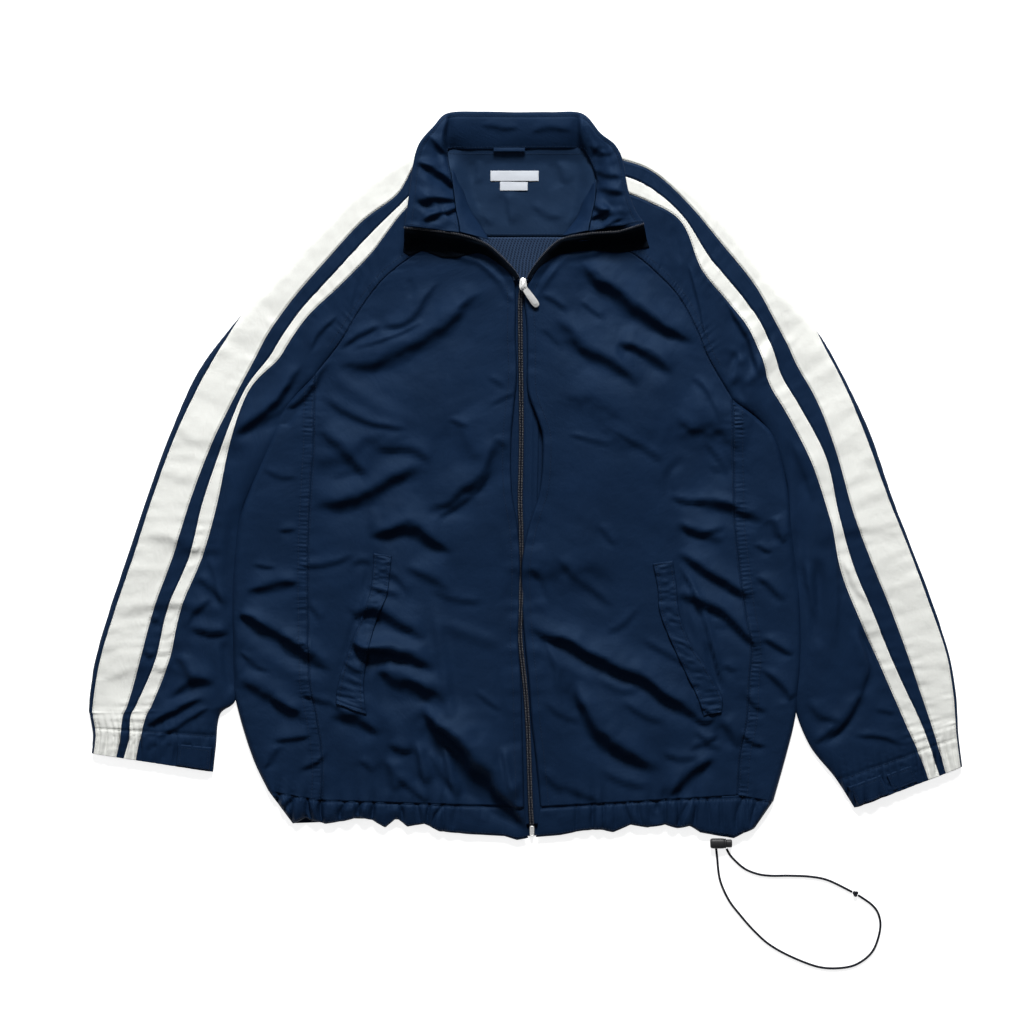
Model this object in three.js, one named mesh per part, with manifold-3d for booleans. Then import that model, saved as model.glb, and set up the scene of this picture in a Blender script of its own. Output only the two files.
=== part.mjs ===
// Track jacket laid flat on its back with the zip drawn up and the collar open.
// Millimetres: +X to the right sleeve as seen from above, +Y to the collar, +Z up from the floor.
// The origin is on the floor, under the middle of the garment's box.
import * as THREE from 'three';
import { mergeVertices } from 'three/addons/utils/BufferGeometryUtils.js';
import Module from 'manifold-3d';

const wasm = await Module();
wasm.setup();

// Driving sizes
const clothThickness = 1.3;
const seamGap = 0.3;
const foldRadius = 3.4;
const quietHeight = 8.6;
const bodyEdgeReach = 7;
const sleeveOuterReach = 10;
const sleeveInnerReach = 16;
const insetReach = 12;
const neckReach = 16;
const linerHeight = 1.6;
const sleeveClearance = 1.5;
const yokeThickness = 1.2;
const collarThickness = 2;
const appliedLift = 0.3;
const cordDiameter = 2.5;
const cordSides = 8;

// Plan of each sleeve, a row per section from the neck down to the cuff. Outer is the shoulder and
// arm fold, inner the raglan seam, then the line where the sleeve meets the body, then its free edge.
// The stripe columns are shares of the row from outer to inner, and backSeam is the share at which
// the seam of the underside lies.
const sleeveColumns = [
  'outerX', 'outerY', 'innerX', 'innerY', 'wideFrom', 'wideTo', 'narrowFrom', 'narrowTo', 'backSeam',
];
const sleeveLeftRows = table(sleeveColumns, [
  [-83, 344, -77, 250, -0.03, 0.03, 0.24, 0.34, 0.06],
  [-115, 340, -100, 241, -0.20, 0.12, 0.36, 0.46, 0.42],
  [-140, 326, -122, 227, -0.20, 0.32, 0.44, 0.53, 0.72],
  [-181, 295, -150, 204, -0.12, 0.32, 0.50, 0.67, 0.90],
  [-226, 247, -174, 172, -0.10, 0.31, 0.48, 0.63, 1],
  [-270, 200, -194, 139, -0.05, 0.31, 0.45, 0.55, 1],
  [-311, 153, -220, 106, 0.03, 0.37, 0.50, 0.59, 1],
  [-345, 106, -249, 77, 0.08, 0.46, 0.52, 0.56, 1],
  [-373, 43, -272, 22, 0.06, 0.43, 0.53, 0.60, 1],
  [-396, -20, -299, -33, 0.06, 0.45, 0.58, 0.73, 1],
  [-417, -83, -305, -82, 0.06, 0.42, 0.57, 0.69, 1],
  [-437, -143, -308, -135, 0.05, 0.36, 0.47, 0.58, 1],
  [-452, -196, -308, -187, 0.04, 0.33, 0.44, 0.54, 1],
  [-458, -241, -307, -234, 0.03, 0.27, 0.33, 0.44, 1],
  [-457, -252, -324, -251, 0.03, 0.26, 0.32, 0.44, 1],
  [-454, -271, -328, -283, 0.03, 0.23, 0.30, 0.39, 1],
  [-455, -291, -331, -310, 0.02, 0.21, 0.27, 0.37, 1],
]);
const sleeveRightRows = table(sleeveColumns, [
  [62, 344, 72, 248.5, -0.03, 0.03, 0.22, 0.36, 0.06],
  [99, 342, 89, 243, -0.20, 0.11, 0.27, 0.43, 0.40],
  [134, 326, 115, 230, -0.24, 0.08, 0.25, 0.40, 0.70],
  [175, 300, 141, 208, -0.18, 0.16, 0.31, 0.37, 0.88],
  [213, 263, 162, 184, -0.14, 0.21, 0.42, 0.58, 0.97],
  [249, 216, 180, 150, -0.16, 0.18, 0.37, 0.53, 1],
  [283, 180, 191, 123, -0.08, 0.26, 0.39, 0.52, 1],
  [311, 144, 216, 80, 0.02, 0.32, 0.48, 0.61, 1],
  [337, 97, 253, 54, 0.04, 0.38, 0.57, 0.73, 1],
  [362, 43, 276, -3, 0.06, 0.41, 0.53, 0.69, 1],
  [385, -24, 279, -57, 0.04, 0.39, 0.52, 0.61, 1],
  [404, -73, 287, -112, 0.03, 0.36, 0.51, 0.62, 1],
  [424, -125, 289, -164, 0.03, 0.31, 0.44, 0.55, 1],
  [443, -183, 288, -204, 0.02, 0.27, 0.38, 0.47, 1],
  [451, -225, 285, -239, 0.02, 0.22, 0.30, 0.39, 1],
  [453, -251, 301, -282, 0.02, 0.19, 0.25, 0.35, 1],
  [454, -272, 328, -316, 0.02, 0.18, 0.24, 0.34, 1],
  [458, -305, 348, -347, 0.02, 0.16, 0.22, 0.32, 1],
]);
const sleeves = {
  left: { rows: sleeveLeftRows, underarmRow: 6, neckBow: 3 },
  right: { rows: sleeveRightRows, underarmRow: 7, neckBow: 7 },
};

// Plan of each half of the body, a row per section from the neck to the hem seam. Seam is the raglan
// seam down to the underarm row and the long side seam below it, zip the front edge, edge the fold
// at the side of the body.
const bodyColumns = ['edgeX', 'edgeY', 'seamX', 'seamY', 'zipX', 'zipY'];
const bodyLeftRows = table(bodyColumns, [
  [-77, 250, -77, 250, -64, 244.5],
  [-100, 241, -100, 241, -41.5, 237.5],
  [-122, 227, -122, 227, -26.5, 225.5],
  [-150, 204, -150, 204, -14, 210],
  [-174, 172, -174, 172, -10, 184],
  [-194, 139, -194, 139, -10.5, 150],
  [-220, 106, -220, 106, -9, 107],
  [-254, 69, -222, 69, -12.5, 69],
  [-268, 36, -222, 36, -15, 36],
  [-289, -14, -225, -14, -14.5, -14],
  [-302, -52, -227, -52, -8.5, -52],
  [-306, -89, -228, -89, -5.7, -89],
  [-308, -129, -228, -129, -6, -129],
  [-307, -180, -227, -180, -7.3, -173],
  [-307, -218, -226, -218, -4.5, -218],
  [-299, -256, -219, -256, -3.5, -259],
  [-285, -299, -213, -299, -2.5, -301],
  [-270, -330, -214, -340, -1.5, -347],
]);
const bodyRightRows = table(bodyColumns, [
  [72, 248.5, 72, 248.5, 64, 245],
  [89, 243, 89, 243, 39, 242],
  [115, 230, 115, 230, 24, 231],
  [141, 208, 141, 208, 8.5, 211],
  [162, 184, 162, 184, -0.5, 188],
  [180, 150, 180, 150, 1.2, 155],
  [191, 123, 191, 123, 1.6, 126],
  [216, 80, 216, 80, 2.5, 88],
  [245, 58, 217, 58, 13, 58],
  [263, 36, 217, 36, 18, 36],
  [275, -14, 218, -14, 15, -14],
  [279, -52, 219, -52, 3.5, -52],
  [283.5, -89, 223, -89, -3.7, -89],
  [287.5, -129, 228, -129, -4, -129],
  [289, -180, 236, -180, -1, -173],
  [287, -218, 234, -218, 3.5, -218],
  [282.5, -256, 232, -256, 6.5, -259],
  [273.5, -293, 225, -293, 11.5, -301],
  [260, -341, 222, -335, 15.5, -347],
]);
const bodies = {
  left: { rows: bodyLeftRows, underarmRow: 6, side: -1 },
  right: { rows: bodyRightRows, underarmRow: 7, side: 1 },
};

// Lower outline of the hem, from the side fold to the zip.
const hemLine = {
  left: [[-244, -365], [-231, -360], [-210, -365], [-190, -362], [-174, -359], [-161, -361],
    [-147, -368], [-135, -361], [-124, -367], [-106, -365], [-90, -372], [-58, -376], [-22, -378],
    [-9, -382], [2.6, -380]],
  right: [[240, -370], [228, -376], [218, -380], [199, -377], [183, -374], [172, -367], [160, -370],
    [146, -366], [128, -369], [110, -367], [92, -374], [78, -371], [60, -372], [36, -377],
    [11, -379]],
};

// The neck line: height of the cloth edge along the neck seam and the open front edges.
const neckLine = table(['x', 'y', 'z'], [
  [-82, 340, 7], [-79, 321, 10], [-76, 300, 14], [-73, 277, 19], [-68, 248, 23.5], [-40, 239, 21],
  [-25, 227, 17], [-12, 213, 13], [-3, 200, 9.6], [7, 214, 13], [22, 234, 17], [38, 245, 21],
  [65, 249, 23.5], [69, 270, 20], [73, 289, 17], [74, 308, 13], [70, 323, 9], [65, 333, 7],
]);

// Collar, a row per section from its left zip end round the back of the neck to its right zip end.
const collarRows = table(['seamX', 'seamY', 'seamZ', 'topX', 'topY', 'topZ', 'belly'], [
  [-69, 252.5, 24, -126, 259, 30, 2],
  [-70, 262, 22.5, -123, 278, 31, 3],
  [-73, 277, 19, -120, 300, 31, 5],
  [-76, 300, 14, -117, 322, 31, 5],
  [-79, 321, 10, -111, 344, 30, 3],
  [-81, 334, 7, -96, 363, 25, 3],
  [-79, 341, 5.5, -81, 378, 18, 2],
  [-53, 341, 5, -46, 380, 15, 1],
  [-11, 342, 5, -11, 379.5, 14, 1],
  [28, 342, 5, 26, 379.5, 15, 1],
  [58, 341, 5.5, 59, 377.5, 18, 2],
  [65, 333, 7, 78, 356, 25, 3],
  [70, 323, 9, 93, 343, 30, 3],
  [74, 308, 13, 101, 326, 31, 5],
  [73, 289, 17, 106, 298, 31, 5],
  [69, 270, 20, 114, 275, 31, 3],
  [66, 254, 24, 122.5, 263, 30, 2],
]);

// Facings turned out beside the neck opening, a row per section from the back to the open edge.
const facingColumns = ['seamX', 'seamY', 'seamZ', 'rollX', 'rollY', 'rollZ'];
const facingRows = {
  left: table(facingColumns, [
    [-77.9, 318, 13, -73, 317, 8],
    [-75.2, 300, 16.5, -66, 300, 9],
    [-72.3, 277, 21.2, -57, 277, 10],
    [-69.3, 263, 24.4, -46, 260, 12],
    [-68.2, 253, 26, -38, 246, 17],
  ]),
  right: table(facingColumns, [
    [72.9, 306, 16.2, 69, 304, 9],
    [72.2, 289, 19.4, 61, 290, 9],
    [68.3, 270, 22.6, 54, 271, 10],
    [66.4, 262, 24.4, 46, 260, 12],
    [65.2, 254.5, 26, 38, 250, 17],
  ]),
};

// Yoke lining and mesh lining seen in the neck opening: left and right ends of each row.
const yokeRows = table(['leftX', 'rightX', 'y'], [
  [-76, 58, 340.6], [-74, 66, 321], [-72, 68, 300], [-62, 63, 277], [-50, 50, 262], [-44, 44, 251],
]);
const liningRows = table(['leftX', 'rightX', 'y'], [
  [-50, 50, 250], [-46, 46, 240], [-38, 38, 225], [-28, 26, 210], [-18, 14, 195],
]);

// Folds that the cloth lies in: three points of the steep line, the height of the ridge that lies to
// the left of it going from start to end, and the distance from the line to the crest.
const folds = table(['x0', 'y0', 'x1', 'y1', 'x2', 'y2', 'height', 'reach'], [
  [-195, 110, -104, 136, -44, 188, 5, 10],
  [-153, 155, -118, 161, -91, 205, 2.5, 8],
  [-218, 48, -190, 25, -163, -5, 3, 9],
  [-161, 26, -121, 24, -98, 12, 2.5, 7],
  [-218, -38, -160, -17, -106, 11, 4.5, 10],
  [-100, -38, -50, -10, -27, 30, 3.5, 9],
  [57, 224, 100, 180, 170, 136, 7, 10],
  [31, 163, 72, 124, 118, 95, 4.5, 10],
  [94, 138, 122, 130, 150, 110, 4.5, 9],
  [173, -31, 215, -36, 250, -50, 3, 9],
  [-158, -68, -125, -56, -79, -81, 3.5, 9],
  [-127, -94, -102, -108, -79, -126, 2, 8],
  [-184, -178, -150, -188, -118, -196, 4.5, 8],
  [-113, -141, -101, -195, -90, -250, 6, 10],
  [-106, -260, -60, -300, -8, -366, 7, 10],
  [-90, -278, -86, -306, -74, -341, 4, 7],
  [-116, -276, -113, -305, -106, -326, 4, 7],
  [-150, -297, -143, -315, -136, -332, 3, 8],
  [-207, -250, -175, -258, -152, -274, 3.5, 9],
  [-300, -146, -255, -172, -205, -204, 3.5, 9],
  [-300, -220, -268, -236, -236, -260, 4, 13],
  [-27, -283, -22, -310, -14, -343, 3.5, 7],
  [-293, -126, -262, -116, -236, -111, 3, 9],
  [-305, 37, -272, 63, -228, 116, 4.5, 9],
  [5, -157, 95, -202, 190, -254, 7.5, 10],
  [55, -222, 74, -268, 134, -311, 6.5, 10],
  [168, -86, 199, -110, 230, -127, 4.5, 9],
  [160, -130, 204, -146, 240, -180, 4.5, 9],
  [146, -341, 173, -314, 201, -298, 4, 8],
  [203, -256, 214, -268, 222, -286, 3, 8],
  [155, -55, 185, -62, 210, -70, 2, 8],
  [255, -45, 262, -56, 270, -72, 2.5, 7],
  [-380, 50, -330, 30, -285, 25, 2, 12],
  [-400, -60, -360, -78, -312, -84, 2.4, 11],
  [-428, -150, -380, -140, -318, -150, 2.4, 12],
  [-446, -215, -395, -205, -330, -222, 2.2, 11],
  [222, 130, 216, 112, 213, 94, 3, 7],
  [262, 150, 240, 122, 228, 92, 2.4, 9],
  [300, 60, 330, 46, 372, 44, 2, 12],
  [300, -70, 340, -60, 392, -66, 2.4, 12],
  [300, -160, 350, -140, 420, -150, 2.6, 13],
  [305, -230, 360, -205, 430, -214, 2.4, 12],
]);

// Broad swells of the upper cloth.
const swells = table(['x', 'y', 'radiusX', 'radiusY', 'height'], [
  [95, 60, 90, 110, 3.5],
  [-95, 40, 100, 120, 3],
  [110, -240, 90, 70, 3],
  [-60, -250, 80, 80, 3],
  [-330, -60, 40, 160, 1.5],
  [345, -80, 45, 160, 1.5],
]);

// Pocket welts, a row per section from the top: the two long sides.
const weltColumns = ['openX', 'openY', 'stitchX', 'stitchY'];
const weltRows = {
  left: table(weltColumns, [
    [-159, -81, -140, -84], [-160, -101, -142, -103], [-163, -123, -145, -126],
    [-172, -149, -156, -152], [-183, -176, -164, -183], [-192, -202, -169, -215],
    [-198, -228, -168, -236], [-198, -239, -166, -250],
  ]),
  right: table(weltColumns, [
    [154, -89, 133, -92], [158, -115, 138, -117], [161, -143, 140, -142],
    [173, -176, 150, -169], [190, -202, 165, -202], [205, -230, 180, -233], [205, -248, 186, -251],
  ]),
};

// Zip line from the open corner of the collar to the hem, for each half of the chain.
const zipRows = {
  left: [[-126, 256.5, 29], [-100, 254, 27.4], [-84, 252, 26.6], [-63, 248.5, 25], [-40.4, 240.2, 21],
    [-24.7, 227.5, 17], [-12, 213.9, 12.5], [-6, 203, 7.6], [-6.7, 188, 5.8], [-7.3, 174, 5.8],
    [-6.2, 79, 5.8], [-6.2, 27, 5.8], [-7.3, -26, 5.8], [-6.2, -62, 5.8], [-6.2, -125, 5.8],
    [-7.3, -169, 5.8], [-2, -222, 5.8], [1.1, -269, 5.8], [3.5, -342, 5.8], [5, -366.6, 5.8]],
  right: [[122.5, 260.5, 29], [98, 253, 28.4], [82, 251.8, 27.4], [64, 250.5, 25], [38, 245.8, 21],
    [22, 233.8, 17], [7.5, 215.7, 12.5], [0.8, 203, 7.6], [-3.3, 188, 5.8], [-4, 174, 5.8],
    [-2.9, 79, 5.8], [-2.9, 27, 5.8], [-4, -26, 5.8], [-2.9, -62, 5.8], [-2.9, -125, 5.8],
    [-4, -169, 5.8], [1.3, -222, 5.8], [4.4, -269, 5.8], [6.8, -342, 5.8], [8.3, -366.6, 5.8]],
};
const zipWidth = 3;
const zipHeight = 1.8;

// Slider and its pull
const sliderPlace = new THREE.Vector3(-2.6, 199.5, 10.3);
const sliderLength = 13.5;
const sliderWidth = 9;
const sliderHeight = 3;
const archInner = 1.6;
const archOuter = 2.6;
const archWidth = 2.4;
const pullHinge = new THREE.Vector3(-2.4, 197, 15.1);
const pullRun = new THREE.Vector2(16, -22);
const pullDrop = 7;
const pullLength = 28;
const pullWidth = 8;
const pullThickness = 1.4;
const pullBar = 0.8;
const pullNeck = 3.4;
const eyeHalf = 1.7;
const eyeLength = 3.9;
const pullHeading = Math.atan2(pullRun.y, pullRun.x) + Math.PI / 2;
const pullSlope = pullDrop * Math.PI / 180;

// Lock and cord at the hem
const lockPlace = new THREE.Vector3(205, -385.7, 4.6);
const lockSize = new THREE.Vector3(23, 10.6, 8.6);
const knotPlace = new THREE.Vector3(346, -438.5, 3.4);
const knotRadius = 3.2;
const cordHeight = cordDiameter / 2 + 0.05;
const cordRoutes = {
  a: [[200, -391.3], [201, -400], [204, -424], [213, -445], [225, -461], [240, -478], [257, -493],
    [281, -506], [309, -516], [334, -516.5], [351, -511], [365, -498], [372, -477], [371, -462],
    [364, -451], [349.1, -440.4]],
  b: [[211, -391.8], [216, -400], [229, -412], [243, -418], [257, -420], [277, -420], [299, -421],
    [318, -425], [342.7, -437]],
};

const navy = new THREE.MeshStandardMaterial({ color: 0x1b2a47, roughness: 0.7, metalness: 0 });
const navyLining = new THREE.MeshStandardMaterial({ color: 0x26365a, roughness: 0.8, metalness: 0 });
const offWhite = new THREE.MeshStandardMaterial({ color: 0xe4e4da, roughness: 0.75, metalness: 0 });
const black = new THREE.MeshStandardMaterial({ color: 0x111216, roughness: 0.6, metalness: 0 });
const silver = new THREE.MeshStandardMaterial({ color: 0xc4c6c8, roughness: 0.3, metalness: 1 });

function table(columns, rows) {
  return rows.map((row) => Object.fromEntries(columns.map((name, index) => [name, row[index]])));
}

function mix(a, b, share) {
  return a + (b - a) * share;
}

function ease(from, to, value) {
  const share = Math.min(1, Math.max(0, (value - from) / (to - from)));
  return share * share * (3 - 2 * share);
}

// Value of a column at a fractional row, on a smooth curve through the rows from first to last.
function along(rows, column, row, first = 0, last = rows.length - 1) {
  const base = Math.min(last - 1, Math.max(first, Math.floor(row)));
  const share = row - base;
  const value = (index) => rows[Math.min(last, Math.max(first, index))][column];
  const [p0, p1, p2, p3] = [value(base - 1), value(base), value(base + 1), value(base + 2)];
  const square = share * share;
  return 0.5 * (2 * p1 + (p2 - p0) * share + (2 * p0 - 5 * p1 + 4 * p2 - p3) * square
    + (3 * p1 - p0 - 3 * p2 + p3) * square * share);
}

// Nearest point of a broken line: distance, share of the whole line, and side of it.
function nearest(points, x, y) {
  let best = { distance: Infinity, share: 0, side: 1, index: 0, part: 0 };
  const steps = points.length - 1;
  for (let index = 0; index < steps; index += 1) {
    const [ax, ay] = points[index];
    const [bx, by] = points[index + 1];
    const lengthSquared = (bx - ax) ** 2 + (by - ay) ** 2;
    const raw = ((x - ax) * (bx - ax) + (y - ay) * (by - ay)) / lengthSquared;
    const part = Math.min(1, Math.max(0, raw));
    const distance = Math.hypot(x - mix(ax, bx, part), y - mix(ay, by, part));
    if (distance < best.distance) {
      const side = Math.sign((bx - ax) * (y - ay) - (by - ay) * (x - ax)) || 1;
      best = { distance, share: (index + part) / steps, side, index, part };
    }
  }
  return best;
}

// A fold's line as a curve through its three points
const foldSteps = 8;
for (const fold of folds) {
  const start = new THREE.Vector2(fold.x0, fold.y0);
  const middle = new THREE.Vector2(fold.x1, fold.y1);
  const end = new THREE.Vector2(fold.x2, fold.y2);
  const curve = new THREE.SplineCurve([start, middle, end]);
  fold.line = curve.getPoints(foldSteps).map((point) => [point.x, point.y]);
}
const neckPoints = neckLine.map((point) => [point.x, point.y]);

// Height of one fold: a ridge on its left, a shallower trough on its right, fading at both ends.
function foldHeight(fold, x, y) {
  const near = nearest(fold.line, x, y);
  if (near.distance > 4 * fold.reach) return 0;
  const across = near.side * near.distance / fold.reach;
  const fade = ease(0, 0.25, near.share) * ease(0, 0.25, 1 - near.share);
  const depth = across > 0 ? 1 : 0.45;
  return fold.height * fade * depth * across * Math.exp(0.5 - across * across / 2);
}

// Height of the upper cloth over the floor, at any place of the plan.
function clothHeight(x, y) {
  let height = quietHeight;
  for (const swell of swells) {
    const square = ((x - swell.x) / swell.radiusX) ** 2 + ((y - swell.y) / swell.radiusY) ** 2;
    height += swell.height * Math.exp(-square);
  }
  for (const fold of folds) height += foldHeight(fold, x, y);
  height = Math.max(height, 5.2);
  const near = nearest(neckPoints, x, y);
  const edge = mix(neckLine[near.index].z, neckLine[near.index + 1].z, near.part);
  return mix(Math.max(edge, 6.8), height, ease(0, neckReach, near.distance));
}

// Level that clears the upper cloth around a place of the plan
function clearHeight(x, y) {
  const offsets = [[0, 0], [8, 0], [-8, 0], [0, 8], [0, -8], [6, 6], [-6, -6], [6, -6], [-6, 6]];
  return Math.max(...offsets.map(([dx, dy]) => clothHeight(x + dx, y + dy)));
}

// Roundness of the cloth at a fold edge: 0 at the edge, 1 past its reach.
function rounded(distance, reach) {
  const share = Math.min(1, Math.max(0, distance / reach));
  return Math.sqrt(Math.max(0, 1 - (1 - share) ** 2));
}

// Point of a folded tube: share runs from the outer fold (0) to the inner end (1), below is the
// layer on the floor, inset is the depth into the wall, closed says how far the inner end is folded.
function tubePoint(outer, inner, share, below, inset, closed, reachOuter, reachInner, bow = 0) {
  const width = Math.hypot(inner.x - outer.x, inner.y - outer.y);
  const flat = share * width;
  const bend = Math.min(insetReach, width / 2);
  const run = flat + inset * Math.max(0, 1 - flat / bend)
    - inset * closed * Math.max(0, 1 - (width - flat) / bend);
  const side = below ? 0 : bow * Math.sin(Math.PI * share);
  const x = mix(outer.x, inner.x, run / width) + side;
  const y = mix(outer.y, inner.y, run / width);
  const fromInner = width - run - inset * closed;
  const fit = Math.min(1, width / (reachOuter + reachInner * closed));
  const lowReach = foldRadius * 1.2;
  if (below) {
    const round = rounded(run - inset, lowReach * fit)
      * mix(1, rounded(fromInner, lowReach * fit), closed);
    return new THREE.Vector3(x, y, foldRadius - (foldRadius - inset) * round);
  }
  const round = rounded(run - inset, reachOuter * fit)
    * mix(1, rounded(fromInner, reachInner * fit), closed);
  return new THREE.Vector3(x, y, foldRadius + (clothHeight(x, y) - inset - foldRadius) * round);
}

function meshOf(name, positions, triangles, material) {
  const geometry = new THREE.BufferGeometry();
  geometry.setAttribute('position', new THREE.Float32BufferAttribute(positions, 3));
  geometry.setIndex(triangles);
  const mesh = new THREE.Mesh(geometry, material);
  mesh.name = name;
  return mesh;
}

// Closed solid between two grids of points of the same size, its faces turned outward.
function wall(name, outer, inner, material) {
  const rows = outer.length;
  const columns = outer[0].length;
  const positions = [...outer.flat(), ...inner.flat()].flatMap((p) => [p.x, p.y, p.z]);
  const at = (layer, row, column) => (layer * rows + row) * columns + column;
  const triangles = [];
  const quad = (a, b, c, d) => triangles.push(a, b, c, a, c, d);
  for (let row = 0; row < rows - 1; row += 1) {
    for (let column = 0; column < columns - 1; column += 1) {
      const corners = (layer) => [at(layer, row, column), at(layer, row, column + 1),
        at(layer, row + 1, column + 1), at(layer, row + 1, column)];
      quad(...corners(0));
      quad(...corners(1).reverse());
    }
  }
  const last = columns - 1;
  for (let row = 0; row < rows - 1; row += 1) {
    quad(at(0, row, 0), at(0, row + 1, 0), at(1, row + 1, 0), at(1, row, 0));
    quad(at(0, row, last), at(1, row, last), at(1, row + 1, last), at(0, row + 1, last));
  }
  for (let column = 0; column < last; column += 1) {
    const foot = rows - 1;
    quad(at(0, 0, column), at(1, 0, column), at(1, 0, column + 1), at(0, 0, column + 1));
    quad(at(0, foot, column), at(0, foot, column + 1), at(1, foot, column + 1), at(1, foot, column));
  }
  if (volumeOf(positions, triangles) < 0) {
    for (let index = 0; index < triangles.length; index += 3) {
      [triangles[index], triangles[index + 1]] = [triangles[index + 1], triangles[index]];
    }
  }
  return meshOf(name, positions, triangles, material);
}

function volumeOf(positions, triangles) {
  const corner = (index) => new THREE.Vector3(...positions.slice(index * 3, index * 3 + 3));
  let volume = 0;
  for (let index = 0; index < triangles.length; index += 3) {
    const [a, b, c] = [0, 1, 2].map((step) => corner(triangles[index + step]));
    volume += a.dot(b.cross(c)) / 6;
  }
  return volume;
}

// Wall under a grid of points, sunk straight down by its thickness.
function panel(name, grid, thickness, material) {
  const below = grid.map((row) => row.map((p) => new THREE.Vector3(p.x, p.y, p.z - thickness)));
  return wall(name, grid, below, material);
}

// Wall on the underside of a grid of points, square to the grid's own slope.
function leaningPanel(name, grid, thickness, material) {
  const rows = grid.length;
  const columns = grid[0].length;
  const point = (row, column) => grid[Math.min(rows - 1, Math.max(0, row))][
    Math.min(columns - 1, Math.max(0, column))];
  const below = grid.map((row, i) => row.map((p, j) => {
    const down = point(i + 1, j).clone().sub(point(i - 1, j));
    const side = point(i, j + 1).clone().sub(point(i, j - 1));
    const normal = down.cross(side).normalize();
    if (normal.z < 0) normal.negate();
    return p.clone().addScaledVector(normal, -thickness);
  }));
  return wall(name, grid, below, material);
}

function steps(from, to, count) {
  return Array.from({ length: count + 1 }, (_, index) => mix(from, to, index / count));
}

// Ends of a sleeve's section at a row
function sleeveEnds(sleeve, row) {
  const { rows, underarmRow } = sleeve;
  const outer = new THREE.Vector2(along(rows, 'outerX', row), along(rows, 'outerY', row));
  const onRaglan = row <= underarmRow;
  const first = onRaglan ? 0 : underarmRow;
  const last = onRaglan ? underarmRow : rows.length - 1;
  const inner = new THREE.Vector2(
    along(rows, 'innerX', row, first, last),
    along(rows, 'innerY', row, first, last),
  );
  return { outer, inner };
}

// Distance in from the body's fold line that keeps the sleeve clear of it
function bodyClearance(sleeve, row) {
  return sleeveClearance * ease(sleeve.underarmRow - 0.5, sleeve.underarmRow + 0.5, row);
}

function sleevePoint(sleeve, row, share, below, inset) {
  const { outer, inner } = sleeveEnds(sleeve, row);
  const away = bodyClearance(sleeve, row);
  const width = outer.distanceTo(inner);
  inner.lerp(outer, away / width);
  const closed = ease(sleeve.underarmRow - 1.5, sleeve.underarmRow, row);
  const bow = sleeve.neckBow * (1 - ease(0, 1.5, row));
  return tubePoint(
    outer, inner, share, below, inset, closed, sleeveOuterReach, sleeveInnerReach, bow,
  );
}

// Section stretches of a sleeve: signed shares run from the underside (negative) to the top.
function sleevePanel(name, sleeve, span, divisions, material) {
  const rowCount = sleeve.rows.length - 1;
  const grids = [0, clothThickness].map((inset) => steps(0, rowCount, rowCount * 2).map((row) => {
    const { outer, inner } = sleeveEnds(sleeve, row);
    const gap = seamGap / 2 / outer.distanceTo(inner);
    const [from, to] = span(row);
    return steps(from + gap, to - gap, divisions)
      .map((share) => sleevePoint(sleeve, row, Math.abs(share), share < 0, inset));
  }));
  return wall(name, grids[0], grids[1], material);
}

// The underside of a sleeve from its inner seam to the outer fold, and the fold itself
function sleeveBack(name, sleeve, material) {
  const rowCount = sleeve.rows.length - 1;
  const grids = [0, clothThickness].map((inset) => steps(0, rowCount, rowCount * 2).map((row) => {
    const { outer, inner } = sleeveEnds(sleeve, row);
    const gap = seamGap / 2 / outer.distanceTo(inner);
    const seam = Math.min(1, along(sleeve.rows, 'backSeam', row)) - gap;
    const wide = along(sleeve.rows, 'wideFrom', row) - gap;
    const flat = [1, 0.97, 0.1].map((share) => -share * seam);
    const bend = wide > 0 ? [-0.03, 0, wide / 2, wide] : steps(-0.09 * seam, wide, 4).slice(1);
    const shares = wide > -0.09 * seam ? [...flat, ...bend] : steps(-seam, wide, 6);
    return shares.map((share) => sleevePoint(sleeve, row, Math.abs(share), share < 0, inset));
  }));
  return wall(name, grids[0], grids[1], material);
}

function sleeveParts(side) {
  const sleeve = sleeves[side];
  const column = (name) => (row) => along(sleeve.rows, name, row);
  const [wideFrom, wideTo] = [column('wideFrom'), column('wideTo')];
  const [narrowFrom, narrowTo] = [column('narrowFrom'), column('narrowTo')];
  return [
    sleeveBack(`sleeve_back_${side}`, sleeve, navy),
    sleevePanel(`stripe_wide_${side}`, sleeve, (row) => [wideFrom(row), wideTo(row)], 3, offWhite),
    sleevePanel(`sleeve_middle_${side}`, sleeve, (row) => [wideTo(row), narrowFrom(row)], 2, navy),
    sleevePanel(
      `stripe_narrow_${side}`, sleeve, (row) => [narrowFrom(row), narrowTo(row)], 2, offWhite,
    ),
    sleevePanel(`sleeve_front_${side}`, sleeve, (row) => [narrowTo(row), 1], 6, navy),
  ];
}

// Named points of a body section at a row
function bodyEnds(body, row) {
  const onRaglan = row <= body.underarmRow;
  const first = onRaglan ? 0 : body.underarmRow;
  const last = onRaglan ? body.underarmRow : body.rows.length - 1;
  const pick = (name) => new THREE.Vector2(
    along(body.rows, `${name}X`, row, first, last),
    along(body.rows, `${name}Y`, row, first, last),
  );
  const zip = new THREE.Vector2(along(body.rows, 'zipX', row), along(body.rows, 'zipY', row));
  return { edge: pick('edge'), seam: pick('seam'), zip };
}

function topPoint(a, b, share) {
  const x = mix(a.x, b.x, share);
  const y = mix(a.y, b.y, share);
  return new THREE.Vector3(x, y, clothHeight(x, y));
}

function frontPanel(side) {
  const body = bodies[side];
  const rowCount = body.rows.length - 1;
  const grid = steps(0, rowCount, rowCount * 2).map((row) => {
    const { seam, zip } = bodyEnds(body, row);
    const gap = seamGap / 2 / seam.distanceTo(zip);
    return steps(gap, 1, 12).map((share) => topPoint(seam, zip, share));
  });
  return panel(`front_${side}`, grid, clothThickness, navy);
}

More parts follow.
